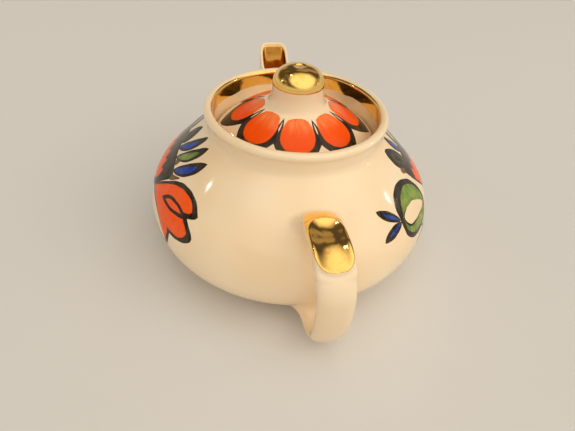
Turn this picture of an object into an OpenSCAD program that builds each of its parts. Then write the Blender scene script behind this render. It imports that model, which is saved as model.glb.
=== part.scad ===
// Porcelain teapot with a drop-in lid, a short open-lipped spout and a strap
// handle with a dished thumb rest. Millimetres. The origin is the middle of the
// foot ring on the table, +Z is up, +X points to the spout and -X to the handle.

/* [Body] */
// Height of the middle of the rolled lip above the table
lip_h = 77.5; // [76:0.5:79]
// Outer radius of the rolled lip
lip_r = 44; // [43.5:0.1:44.5]
// Largest radius of the belly
belly_r = 72.5; // [71:0.5:74]
// Height of the widest part of the belly
belly_h = 28.5; // [27.5:0.5:29.5]
// Radius of the belly's curve above its widest part
shoulder_curve = 27; // [26:0.5:28]
// Radius of the belly's curve below its widest part
base_curve = 24; // [23:0.5:24.5]
// Thickness of the porcelain wall
wall = 3; // [2.8:0.1:3.3]
// Outer radius of the foot ring
foot_r = 41.5; // [39:0.5:43]
// Depth of the lid's ledge below the middle of the lip
seat_drop = 14.4; // [14:0.1:15]

/* [Lid] */
// Radius of the lid's edge
lid_r = 39; // [38.8:0.1:39.2]
// Radius of the skirt that keeps the lid in its seat
skirt_r = 33.6; // [33:0.1:34]
// Depth of the skirt below the ledge's top
skirt_drop = 8; // [6:0.5:10]

/* [Knob] */
// Radius of the knob below its gilded cap
knob_r = 12; // [11.5:0.1:12.5]
// Radius of the knob where it meets the lid
knob_foot_r = 14.2; // [13.8:0.1:14.6]
// Height of the knob below its gilded cap
knob_neck_h = 9.7; // [9:0.1:11]
// Height of the gilded cap
cap_h = 8.4; // [7.5:0.1:9]
// Radius of the steam vent in the top of the knob
vent_r = 2.2; // [1.8:0.1:2.6]

/* [Handle] */
// Width of the handle strap
strap_w = 15.6; // [15:0.1:16.2]
// Thickness of the handle strap
strap_t = 6.4; // [6:0.1:7]
// Distance of the strap's outer face from the middle of the pot
handle_reach = 94.5; // [93:0.5:96]
// Height of the strap's top face above the table
handle_top = 64.2; // [63.5:0.1:65]
// Depth of the dish in the thumb rest
dish_depth = 2.6; // [2.2:0.1:3]

/* [Spout] */
// Distance of the pouring lip from the middle of the pot
spout_reach = 78.5; // [77.5:0.5:80]
// Height of the pouring lip above the table
spout_h = 78.5; // [77.5:0.5:80]
// Width of the spout at its mouth
mouth_w = 16.2; // [15.8:0.1:17]
// Thickness of the spout's wall
spout_wall = 1.5; // [1.3:0.1:1.8]
// Radius of each strainer hole
strainer_r = 1.6; // [1.4:0.1:1.8]

/* [Gilding] */
// Thickness of the gilding
gilt = 0.15; // [0.1:0.01:0.2]
// Height of the gilded band inside the lip
band_h = 5.6; // [5:0.1:6.5]
// Depth of the gilding inside the spout's mouth
lining_drop = 15; // [12:0.5:16]

/* [Hidden] */
porcelain = "#f1e2cc";
gold = "#d9a233";
far = 200;
fine = 180;

// The lip is a bead, and the collar hangs from its inner side.
bead_r = 2.1;
bead_mid = lip_r - bead_r;
collar_in = bead_mid - bead_r;
collar_out = collar_in + wall;
neck_fillet = 5;

// The shoulder rises from the belly's curve as one long, shallow arc.
shoulder_start = 43;
shoulder_long = 400;
belly_mid = [belly_r - shoulder_curve, belly_h];
base_mid = [belly_r - base_curve, belly_h];
shoulder_end = belly_mid + shoulder_curve * ray(shoulder_start);
shoulder_mid = shoulder_end - shoulder_long * ray(shoulder_start);
fillet_reach = shoulder_long + neck_fillet;
neck_turn = acos((collar_out + neck_fillet - shoulder_mid[0]) / fillet_reach);
fillet_mid = shoulder_mid + fillet_reach * ray(neck_turn);

// The underside is level, and the foot ring stands below it.
base_h = belly_h - base_curve;
floor_h = base_h + wall;
foot_w = 4.5;
foot_round = 1;

// The ledge carries the lid, and the throat is the hole inside it.
seat_h = lip_h - seat_drop;
ledge_t = 3;
throat_r = 34.4;
ledge_turn = asin((seat_h - ledge_t - shoulder_mid[1]) / (shoulder_long - wall));

// The lid's dome is one arc from the knob's foot to a beaded edge.
edge_r = 1.4;
lid_t = 2 * edge_r;
seat_gap = 0.1;
lid_base = seat_h + seat_gap;
dome_curve = 69;
dome_start = 70;
dome_axis = knob_foot_r - dome_curve * cos(dome_start);
dome_end = acos((lid_r - edge_r - dome_axis) / (dome_curve - edge_r));
edge_mid = [lid_r - edge_r, lid_base + edge_r];
dome_mid = [dome_axis, edge_mid[1] - (dome_curve - edge_r) * sin(dome_end)];
dome_top = dome_mid[1] + dome_curve * sin(dome_start);
skirt_t = 2.4;
skirt_in = skirt_r - skirt_t;
skirt_turn = acos((skirt_in - dome_axis) / (dome_curve - lid_t));
steam_hole_r = 6;

// The knob narrows from its foot to the cap, and is hollow up to the vent.
cap_base = dome_top + knob_neck_h;
cap_side = 0.8;
cap_crown = 0.95;
knob_bore = 9.2;
knob_roof = cap_base + cap_h - 3.2;
vent_round = 0.9;
vent_turn = acos(pow((vent_r + vent_round) / knob_r, 1 / cap_side));

// The handle springs from the shoulder, bends over to a short arm, turns the
// corner, runs down the long back and turns the heel to meet the lower belly.
spring_turn = 0;
spring_r = 8;
arm_turn = 84;
arm_l = 12;
corner_r = 15.3;
back_r = 75;
back_turn = 204;
heel_r = 11;
heel_turn = 281;
heel_l = 14;
corner_mid = [corner_r + strap_t / 2 - handle_reach, handle_top - strap_t / 2 - corner_r];
back_mid = corner_mid + [back_r - corner_r, 0];
heel_mid = back_mid + (back_r - heel_r) * ray(back_turn);
arm_end = corner_mid + corner_r * ray(arm_turn) + arm_l * ray(arm_turn - 90);
spring_mid = arm_end - spring_r * ray(arm_turn);
root_flare_w = 8;
root_flare_t = 4;
heel_flare = 0.25;
spring_flare = 0.4;
strap_square = 2.2;
// The handle was luted on with a slight lean: its foot stands to the -Y side.
handle_lean = 4;

// The thumb rest swells round the corner, with a dish sunk in it. Places along
// the strap's top face are measured from the start of the corner.
dish_from = -9.3;
dish_to = 16;
dish_mid = (dish_from + dish_to) / 2;
dish_l = dish_to - dish_from;
dish_w = 15.4;
dish_tip_w = 5;
dish_round = 2.6;
dish_bowl = 2.4;
dish_ramp = 3;
rim_places = [0.3, 0.6, 0.82, 0.95, 1];
pad_w = strap_w + 0.7;
pad_rise = 1.2;
pad_square = 2.4;
pad_edge = 12;
pad_fade = 0.35;
face_r = corner_r + strap_t / 2;
dish_turn = arm_turn + dish_to / face_r * 180 / PI;

// The spout follows one curve from inside the belly to above the mouth.
mouth_turn = 34;
mouth_depth = 18;
front_square = 0.55;
spout_root_w = 34;
spout_root_depth = 38;
tip_mid = [spout_reach - mouth_depth / 2, spout_h];
spout_curve = [tip_mid - [20, 50], tip_mid - [1.5, 39.5], tip_mid - [1, 21.5], tip_mid + [0.5, 8.5]];
spout_steps = 20;
lining_start = 9;

// The strainer is three staggered rows of holes in the belly behind the spout.
strainer_rows = [[14, 2], [26, 3], [38, 2]];
strainer_step = 6;
strainer_spread = strainer_step / belly_r * 180 / PI;

function ray(a) = [cos(a), sin(a)];
function arc(mid, r, from, to, n) = [for (i = [0:n]) mid + r * ray(from + (to - from) * i / n)];

// A point on the knob's cap, where skin is the depth below its gilded surface.
function cap_point(a, skin) = [
    (knob_r - skin) * pow(cos(a), cap_side),
    cap_base + (cap_h - skin) * pow(sin(a), cap_crown)
];
function cap_curve(skin) = [for (i = [0:18]) cap_point(vent_turn * i / 18, skin)];

// Eases from 0 to 1 as x goes from 0 to 1.
function ease(x) = let (k = max(0, min(1, x))) k * k * (3 - 2 * k);

// The thumb rest at a place on the strap's top face: 0 in its middle, 1 at its ends.
function dish_end(place) = abs(place - dish_mid) / (dish_l / 2);
function dish_half(place) = let (u = min(dish_end(place), 1))
    max(dish_w / 2 * pow(1 - pow(u, dish_round), 1 / dish_round), dish_tip_w / 2);
function dish_sink(place, v) = let (u = min(dish_end(place), 1))
    dish_depth * (1 - pow(u, dish_ramp)) * (1 - pow(abs(v), dish_bowl));
function pad_swell(place) = ease((1 + pad_fade - dish_end(place)) / pad_fade);

// Frames along the strap: middle, outward turn, place on the top face, flare at a root.
strap_frames = concat(
    steps(spring_turn, arm_turn, 8, function(a) spring_frame(a)),
    steps(-arm_l, dish_from, 2, function(place) top_frame(place)),
    steps(0, 180, 16, function(k) top_frame(dish_mid - dish_l / 2 * cos(k))),
    steps(dish_turn, 180, 5, function(a) corner_frame(a)),
    steps(180, back_turn, 4, function(a) [back_mid + back_r * ray(a), a, far, 0]),
    steps(back_turn, heel_turn, 7, function(a) heel_bend(a)),
    steps(0, heel_l, 4, function(l) heel_frame(l)),
    [heel_frame(heel_l)]
);
function steps(from, to, n, frame) = [for (i = [0:n - 1]) frame(from + (to - from) * i / n)];
function spring_frame(a) = [
    spring_mid + spring_r * ray(a), a, -arm_l - (arm_turn - a) * PI / 180 * (spring_r + strap_t / 2),
    spring_flare * pow((arm_turn - a) / (arm_turn - spring_turn), 2)
];
function corner_frame(a) = [corner_mid + corner_r * ray(a), a, face_r * (a - arm_turn) * PI / 180, 0];
function top_frame(place) = place > 0 ? corner_frame(arm_turn + place / face_r * 180 / PI)
    : [corner_mid + corner_r * ray(arm_turn) - place * ray(arm_turn - 90), arm_turn, place, 0];
function heel_bend(a) = [
    heel_mid + heel_r * ray(a), a, far, heel_flare * ease((a - back_turn) / (heel_turn - back_turn))
];
function heel_frame(l) = [
    heel_mid + heel_r * ray(heel_turn) + l * ray(heel_turn - 270), heel_turn, far,
    heel_flare + (1 - heel_flare) * l / heel_l
];

// One ring of the strap, as points from the dish round the underside and back.
function strap_width(f) = strap_w + (pad_w - strap_w) * pad_swell(f[2]) + root_flare_w * f[3];
function strap_depth(f) = strap_t + root_flare_t * f[3];
function face_height(f, y) = let (
    k = abs(2 * y / strap_width(f)), swell = pad_swell(f[2]), square = strap_square + pad_square * swell
) strap_depth(f) / 2 * pow(max(0, 1 - pow(k, square)), 1 / square)
    + pad_rise * swell * (1 - pow(k, pad_edge));
function dish_points(f, lift) = [for (i = [-4:4]) let (v = i / 4, y = v * dish_half(f[2]))
    [y, face_height(f, y) - dish_sink(f[2], v) + lift]];
function rim_points(f, side) = [for (q = rim_places)
    let (d = dish_half(f[2]), y = side * (d + (strap_width(f) / 2 - d) * q)) [y, face_height(f, y)]];
function under_points(f) = [for (i = [1:9]) let (a = 18 * i, c = cos(a), e = 2 / strap_square)
    [strap_width(f) / 2 * sign(c) * pow(abs(c), e), -strap_depth(f) / 2 * pow(sin(a), e)]];
function backwards(list) = [for (i = [len(list) - 1:-1:0]) list[i]];
function strap_ring(f) = concat(
    dish_points(f, 0), rim_points(f, 1), under_points(f), backwards(rim_points(f, -1)));
function placed(f, ring) = [for (p = ring) let (q = f[0] + p[1] * ray(f[1]))
    [q[0], -p[0] - handle_lean * (1 - q[1] / handle_top), q[1]]];

// A place and a direction on the spout's curve, and a ring round it less a skin.
function spout_at(t) = pow(1 - t, 3) * spout_curve[0] + 3 * t * pow(1 - t, 2) * spout_curve[1]
    + 3 * t * t * (1 - t) * spout_curve[2] + pow(t, 3) * spout_curve[3];
function spout_heading(t) = let (d = spout_at(t + 0.01) - spout_at(t - 0.01)) atan2(d[1], d[0]);
function spout_ring(t, skin) = let (
    h = spout_heading(t), mid = spout_at(t), swell = pow(1 - t, 2),
    half_w = (mouth_w + (spout_root_w - mouth_w) * swell) / 2 - skin,
    half_d = (mouth_depth + (spout_root_depth - mouth_depth) * swell) / 2 - skin
) [for (i = [0:35]) let (
    c = cos(10 * i), s = sin(10 * i), e = c > 0 ? front_square : 1,
    q = mid + half_d * sign(c) * pow(abs(c), e) * ray(h - 90)
) [q[0], -half_w * sign(s) * pow(abs(s), e), q[1]]];

// The outside of the body, from its axis under the foot to the lip.
body_outside = concat(
    [[0, base_h], [foot_r - foot_w, base_h]],
    arc([foot_r - foot_w + foot_round, foot_round], foot_round, 180, 270, 4),
    arc([foot_r - foot_round, foot_round], foot_round, 270, 360, 4),
    [[foot_r, base_h - foot_round], [foot_r + foot_round, base_h]],
    arc(base_mid, base_curve, 270, 360, 18),
    arc(belly_mid, shoulder_curve, 3, shoulder_start, 10),
    arc(shoulder_mid, shoulder_long, shoulder_start + 1, neck_turn, 2),
    arc(fillet_mid, neck_fillet, 172 + neck_turn, 180, 5),
    [[collar_out, lip_h]]
);

// The inside of the body, from the lip to its axis on the floor.
body_inside = concat(
    [[collar_in, lip_h], [collar_in, seat_h], [throat_r, seat_h], [throat_r, seat_h - ledge_t]],
    arc(shoulder_mid, shoulder_long - wall, ledge_turn, shoulder_start, 2),
    arc(belly_mid, shoulder_curve - wall, shoulder_start - 3, 0, 10),
    arc(base_mid, base_curve - wall, -5, -90, 17),
    [[0, floor_h]]
);

// The body without its hollow, which trims the pieces luted to it.
module body_blank() {
    rotate_extrude($fn = fine)
        polygon(concat(body_outside, [[0, lip_h]]));
}

module strainer_holes() {
    for (row = strainer_rows)
        for (i = [0:row[1] - 1])
            rotate([0, 0, (i - (row[1] - 1) / 2) * strainer_spread])
                translate([belly_mid[0], 0, belly_mid[1]])
                    rotate([0, 90 - row[0], 0])
                        cylinder(r = strainer_r, h = 2 * shoulder_curve, $fn = 24);
}

// The thrown body. It is one piece of porcelain, in five nodes that meet face to
// face: the foot under the floor's top, the lower bowl up to the belly's widest
// part, the shoulder up to the ledge's underside, the neck above it, and the ledge.
module body_between(low, high) {
    rotate_extrude($fn = fine)
        intersection() {
            union() {
                polygon(concat(body_outside, body_inside));
                translate([bead_mid, lip_h]) circle(r = bead_r, $fn = 48);
            }
            translate([0, low]) square([far, high - low]);
        }
}

module foot() {
    color(porcelain)
        body_between(0, floor_h);
}

module pot_body() {
    color(porcelain)
        body_between(floor_h, belly_h);
}

module shoulder() {
    color(porcelain)
        difference() {
            body_between(belly_h, seat_h - ledge_t);
            strainer_holes();
        }
}

module neck() {
    color(porcelain)
        rotate_extrude($fn = fine)
            difference() {
                union() {
                    intersection() {
                        polygon(concat(body_outside, body_inside));
                        translate([0, seat_h - ledge_t]) square([far, far]);
                    }
                    translate([bead_mid, lip_h]) circle(r = bead_r, $fn = 48);
                }
                square([collar_in, far]);
            }
}

module lid_ledge() {
    color(porcelain)
        rotate_extrude($fn = fine)
            translate([throat_r, seat_h - ledge_t]) square([collar_in - throat_r, ledge_t]);
}

// Skins a row of rings, each with the same number of points, into one solid. The
// diagonal of its faces runs the other way when crossed, so that a skin's underside
// has the same facets as the strap that it lies on.
module loft(rings, crossed = false) {
    n = len(rings[0]);
    last = (len(rings) - 1) * n;
    polyhedron(
        points = [for (ring = rings) each ring],
        faces = concat(
            [[for (i = [n - 1:-1:0]) i]],
            [for (row = [0:n:last - n], i = [0:n - 1]) let (j = (i + 1) % n)
                each crossed
                    ? [[row + i, row + j, row + n + i], [row + j, row + n + j, row + n + i]]
                    : [[row + i, row + j, row + n + j], [row + i, row + n + j, row + n + i]]],
            [[for (i = [0:n - 1]) last + i]]
        )
    );
}

module spout_form(skin, from = 0) {
    loft([for (i = [from:spout_steps]) spout_ring(i / spout_steps, skin)]);
}

// Everything above the oblique mouth, lowered by drop.
module above_mouth(drop) {
    translate([spout_reach, 0, spout_h - drop])
        rotate([0, -mouth_turn, 0])
            translate([-far / 2, -far / 2, 0])
                cube([far, far, far]);
}

module spout() {
    color(porcelain)
        difference() {
            spout_form(0);
            spout_form(spout_wall);
            above_mouth(0);
            body_blank();
        }
}

module spout_gilding() {
    color(gold)
        difference() {
            spout_form(spout_wall, lining_start);
            spout_form(spout_wall + gilt, lining_start - 1);
            above_mouth(0);
            body_blank();
            difference() {
                translate([0, -far / 2, 0]) cube([far, far, far]);
                above_mouth(lining_drop);
            }
        }
}

module handle() {
    color(porcelain)
        difference() {
            loft([for (f = strap_frames) placed(f, strap_ring(f))]);
            body_blank();
        }
}

module thumb_rest_gilding() {
    color(gold)
        loft([for (f = strap_frames) if (dish_end(f[2]) < 1.001)
            placed(f, concat(dish_points(f, gilt), backwards(dish_points(f, 0))))], crossed = true);
}

// The lid is one piece of porcelain, in two nodes: the dome with its beaded edge,
// down to the seat, and the skirt below it.
module lid() {
    color(porcelain)
        rotate_extrude($fn = fine)
            polygon(concat(
                [[steam_hole_r, dome_top]],
                arc(dome_mid, dome_curve, dome_start, dome_end, 12),
                arc(edge_mid, edge_r, dome_end - 9, -90, 8),
                [[skirt_in, lid_base]],
                arc(dome_mid, dome_curve - lid_t, skirt_turn, dome_start, 10),
                [[steam_hole_r, dome_mid[1] + (dome_curve - lid_t) * sin(dome_start)]]
            ));
}

module lid_skirt() {
    color(porcelain)
        translate([0, 0, seat_h - skirt_drop])
            rotate_extrude($fn = fine)
                translate([skirt_in, 0]) square([skirt_t, skirt_drop + seat_gap]);
}

module knob() {
    neck = [for (i = [0:8]) let (k = i / 8)
        [knob_foot_r - (knob_foot_r - knob_r) * (2 * k - k * k), dome_top + knob_neck_h * k]];
    color(porcelain)
        rotate_extrude($fn = fine)
            polygon(concat(
                [[knob_bore, dome_top]],
                neck,
                cap_curve(gilt),
                arc(cap_point(vent_turn, gilt) - [0, vent_round], vent_round, 90, 180, 4),
                [[vent_r, knob_roof], [knob_bore - 3, knob_roof], [knob_bore, knob_roof - 3]]
            ));
}

module rim_gilding() {
    color(gold)
        translate([0, 0, lip_h - band_h])
            difference() {
                cylinder(r = collar_in, h = band_h, $fn = fine);
                translate([0, 0, -band_h])
                    cylinder(r = collar_in - gilt, h = 3 * band_h, $fn = fine);
            }
}

module knob_gilding() {
    inner = cap_curve(gilt);
    color(gold)
        rotate_extrude($fn = fine)
            polygon(concat(cap_curve(0), [for (i = [len(inner) - 1:-1:0]) inner[i]]));
}

foot();
pot_body();
shoulder();
neck();
lid_ledge();
spout();
handle();
lid();
lid_skirt();
knob();
rim_gilding();
spout_gilding();
thumb_rest_gilding();
knob_gilding();
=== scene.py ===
"""A painted porcelain teapot: a turned pot and lid, a drawn spout and a strap handle,
with enamel flowers and bright gilding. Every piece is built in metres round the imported
frame, with the pot's axis on Z, the spout towards +X and the handle towards -X."""

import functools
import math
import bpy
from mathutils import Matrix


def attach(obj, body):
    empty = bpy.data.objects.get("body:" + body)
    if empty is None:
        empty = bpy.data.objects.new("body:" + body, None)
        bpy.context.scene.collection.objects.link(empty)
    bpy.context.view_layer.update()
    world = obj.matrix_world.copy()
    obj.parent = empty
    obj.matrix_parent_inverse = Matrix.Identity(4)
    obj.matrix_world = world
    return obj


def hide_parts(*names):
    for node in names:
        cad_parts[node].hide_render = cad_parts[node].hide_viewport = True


bl_info = {
    "name": "Painted Porcelain Teapot",
    "version": (1, 0, 0),
    "blender": (4, 5, 0),
    "location": "View3D > Sidebar > Teapot",
    "description": "Builds a painted and gilded porcelain teapot round its CAD frame",
    "category": "Object",
}

from types import SimpleNamespace

import bmesh
import bpy
import numpy as np
from bpy.props import FloatProperty, FloatVectorProperty, IntProperty, PointerProperty
from mathutils import Matrix, Quaternion, Vector, geometry

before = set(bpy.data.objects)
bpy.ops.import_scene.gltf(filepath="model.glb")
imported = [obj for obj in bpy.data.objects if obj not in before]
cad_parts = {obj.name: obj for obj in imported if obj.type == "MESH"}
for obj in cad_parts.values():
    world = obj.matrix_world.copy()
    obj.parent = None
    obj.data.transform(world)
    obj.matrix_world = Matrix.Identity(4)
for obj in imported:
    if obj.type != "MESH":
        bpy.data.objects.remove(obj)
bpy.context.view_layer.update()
MM = 0.001


# ---------------------------------------------------------------- sizes and colours


def length(name, value, text):
    """A length in millimetres, shown in the scene's own units."""
    return FloatProperty(
        name=name, description=text, default=value * MM, min=0, precision=5, unit="LENGTH"
    )


def turn(name, degrees, text):
    """An angle in degrees, kept in radians."""
    return FloatProperty(
        name=name, description=text, default=math.radians(degrees), subtype="ANGLE", unit="ROTATION"
    )


def amount(name, value, text, high=1.0):
    """A plain number from nothing to high."""
    return FloatProperty(name=name, description=text, default=value, min=0, max=high)


def colour(name, red, green, blue, text):
    """A colour, written as a painter's swatch from 0 to 255 a channel."""
    linear = [
        (c / 255) / 12.92 if c <= 10 else ((c / 255 + 0.055) / 1.055) ** 2.4
        for c in (red, green, blue)
    ]
    return FloatVectorProperty(
        name=name, description=text, default=linear, subtype="COLOR", min=0, max=1
    )


class PotSizes(bpy.types.PropertyGroup):
    """Sizes of the turned pot."""

    lip_h: length("Lip height", 77.5, "Height of the middle of the rolled lip")
    lip_r: length("Lip radius", 44, "Outer radius of the rolled lip")
    belly_r: length("Belly radius", 72.5, "Largest radius of the belly")
    belly_h: length("Belly height", 28.5, "Height of the widest part of the belly")
    shoulder_curve: length("Shoulder curve", 27, "Radius of the curve above the widest part")
    base_curve: length("Base curve", 24, "Radius of the curve below the widest part")
    wall: length("Wall", 3, "Thickness of the porcelain wall")
    foot_r: length("Foot radius", 41.5, "Outer radius of the foot ring")
    seat_drop: length("Seat drop", 14.4, "Depth of the lid's ledge below the lip")
    bead_r: length("Lip bead", 2.1, "Radius of the rolled lip's bead")
    neck_fillet: length("Neck fillet", 5, "Radius where the collar meets the shoulder")
    strainer_r: length("Strainer hole", 1.6, "Radius of each strainer hole")
    facets: IntProperty(name="Facets", description="Faces round a piece", default=240, min=24)


class LidSizes(bpy.types.PropertyGroup):
    """Sizes of the lid and its knob."""

    lid_r: length("Lid radius", 39, "Radius of the lid's edge")
    skirt_r: length("Skirt radius", 33.6, "Radius of the locating skirt")
    skirt_drop: length("Skirt drop", 8, "Depth of the skirt below the ledge")
    dome_curve: length("Dome curve", 69, "Radius of the dome's arc")
    knob_r: length("Knob radius", 12, "Radius of the knob under its cap")
    knob_foot_r: length("Knob foot", 14.2, "Radius of the knob where it meets the lid")
    knob_neck_h: length("Knob neck", 9.7, "Height of the knob below its cap")
    cap_h: length("Cap height", 8.4, "Height of the gilded cap")
    vent_r: length("Vent", 2.2, "Radius of the steam vent")


class HandleSizes(bpy.types.PropertyGroup):
    """Sizes of the strap handle."""

    strap_w: length("Strap width", 15.6, "Width of the strap")
    strap_t: length("Strap thickness", 6.4, "Thickness of the strap")
    reach: length("Reach", 94.5, "Distance of the strap's outer face from the axis")
    top: length("Top", 64.2, "Height of the strap's top face")
    dish_depth: length("Dish depth", 2.6, "Depth of the dish in the thumb rest")
    lean: length("Lean", 4, "How far the strap's foot stands to one side")
    fillet: length("Root fillet", 4.6, "Reach of the clay smoothed round each root")
    top_fillet: length("Top fillet", 2.2, "Reach of the same clay above the thumb rest")


class SpoutSizes(bpy.types.PropertyGroup):
    """Sizes of the spout."""

    reach: length("Reach", 78.5, "Distance of the pouring lip from the axis")
    height: length("Height", 78.5, "Height of the pouring lip")
    mouth_w: length("Mouth width", 16.2, "Width at the mouth")
    wall: length("Wall", 1.5, "Thickness of the spout's wall")
    lining_drop: length("Gilding depth", 15, "Depth of the gilding inside the mouth")
    fillet: length("Root fillet", 4.0, "Reach of the clay smoothed round the root")


class Finishes(bpy.types.PropertyGroup):
    """Colours and thicknesses of the glaze, the bare clay and the gilding."""

    glaze: colour("Glaze", 251, 228, 192, "Warm white of the glazed porcelain")
    glaze_thick: colour("Thick glaze", 248, 220, 179, "The glaze where it lies thick")
    speck: colour("Speck", 120, 92, 62, "Rare iron specks in the glaze")
    clay: colour("Bare clay", 232, 218, 198, "Unglazed porcelain of the foot ring")
    clay_dark: colour("Soiled clay", 190, 172, 148, "The foot ring where it has rubbed on tables")
    gold: colour("Gold", 255, 209, 118, "Bright burnished gold")
    gold_thin: colour("Thin gold", 240, 182, 90, "The gold where it lies thin")
    gilt: length("Gilding thickness", 0.15, "Thickness of the gilding")
    band_h: length("Gold band", 5.6, "Height of the gilded band inside the lip")


class PaintSettings(bpy.types.PropertyGroup):
    """Colours and sizes of the enamel painting."""

    ink: colour("Ink", 22, 15, 11, "Brown-black outlines")
    ink_thin: colour("Thin ink", 96, 80, 60, "The same ink where it lies thin")
    orange: colour("Orange", 254, 84, 0, "Petals")
    # The paler orange is laid in brush streaks, and also towards the knob on every petal.
    salmon: colour("Salmon", 255, 142, 80, "Petals where the brush ran dry")
    cobalt: colour("Cobalt", 24, 50, 148, "Blue leaves")
    sky: colour("Thin cobalt", 84, 118, 196, "The same blue where it lies thin")
    green: colour("Leaf green", 98, 138, 44, "Green leaves and fruit")
    lime: colour("Pale green", 160, 174, 84, "The same green where it lies thin")
    ochre: colour("Ochre", 136, 94, 42, "Small golden-brown marks")
    thick: length("Enamel thickness", 0.08, "Thickness of one coat of enamel")
    cell: length("Mesh cell", 0.9, "Spacing of the points inside a painted shape")
    turn_left: turn("Left face", 0, "Turn of the bouquet on the +Y face")
    turn_right: turn("Right face", -192, "Turn of the bouquet on the -Y face")
    petals: IntProperty(name="Petals", description="Petals round the lid", default=8, min=3)
    petal_start: turn("First petal", 8.2, "Place of the lid's first petal, from the handle")
    petal_drift: turn("Petal drift", 0.7, "How unevenly the petals are spaced")


class StageSettings(bpy.types.PropertyGroup):
    """The floor, the lamps and the camera."""

    floor: colour("Floor", 222, 220, 216, "Plain pale floor")
    backdrop: colour("Backdrop", 214, 213, 210, "Pale background at the horizon")
    ceiling: colour("Ceiling", 84, 78, 72, "Dim ceiling over the stage")
    ceiling_lit: colour("Lit ceiling", 168, 152, 130, "The same ceiling where lamps light it")
    skylight: colour("Skylight", 255, 246, 232, "Large soft light overhead")
    skylight_power: amount("Skylight strength", 1.36, "Strength of the light overhead", 10)
    lens: FloatProperty(
        name="Lens", description="Focal length on a 36 mm sensor", default=29.11, min=1
    )
    camera_turn: turn("Camera turn", -12.68, "Angle of the camera from the handle, about the axis")
    camera_lift: turn("Camera lift", 40.76, "Height of the camera above the level, as an angle")
    camera_roll: turn("Camera roll", 4.75, "Lean of the camera about its own line of sight")
    camera_reach: length("Camera distance", 266.8, "From the camera to the point it looks at")
    target_h: length("Target height", 9.8, "Height of that point on the axis")


# ---------------------------------------------------------------- curves of the pot


def ray(degrees):
    """A unit step in the (radius, height) plane."""
    return np.array([math.cos(math.radians(degrees)), math.sin(math.radians(degrees))])


def spots(*pairs):
    """Points from (radius, height) pairs."""
    return [np.array(pair, float) for pair in pairs]


def arc(middle, radius, start, end, steps):
    """Points along an arc in the (radius, height) plane."""
    return [middle + radius * ray(start + (end - start) * i / steps) for i in range(steps + 1)]


def bend(start, pull, end, places):
    """Points at places from 0 to 1 on a curve from start to end, drawn towards pull."""
    return [(1 - t) ** 2 * start + 2 * t * (1 - t) * pull + t * t * end for t in places]


def ease(x):
    """Goes smoothly from 0 to 1 as x does."""
    x = np.clip(x, 0, 1)
    return x * x * (3 - 2 * x)


# The shoulder's long curve: the angle at which it takes over from the belly, and its radius.
SHOULDER_START, SHOULDER_LONG = 43, 0.4
FOOT_W, FOOT_ROUND = 0.0045, 0.001
LEDGE_T, LEDGE_ROUND, THROAT_R = 0.003, 0.0006, 0.0344
# How far below its middle the lip's bead leaves the collar and how far it is drawn back up,
# both in radii of the bead, and the angle at which its arc begins.
BEAD_FOOT, BEAD_PULL, BEAD_TURN = 1.9, 0.75, -38


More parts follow.
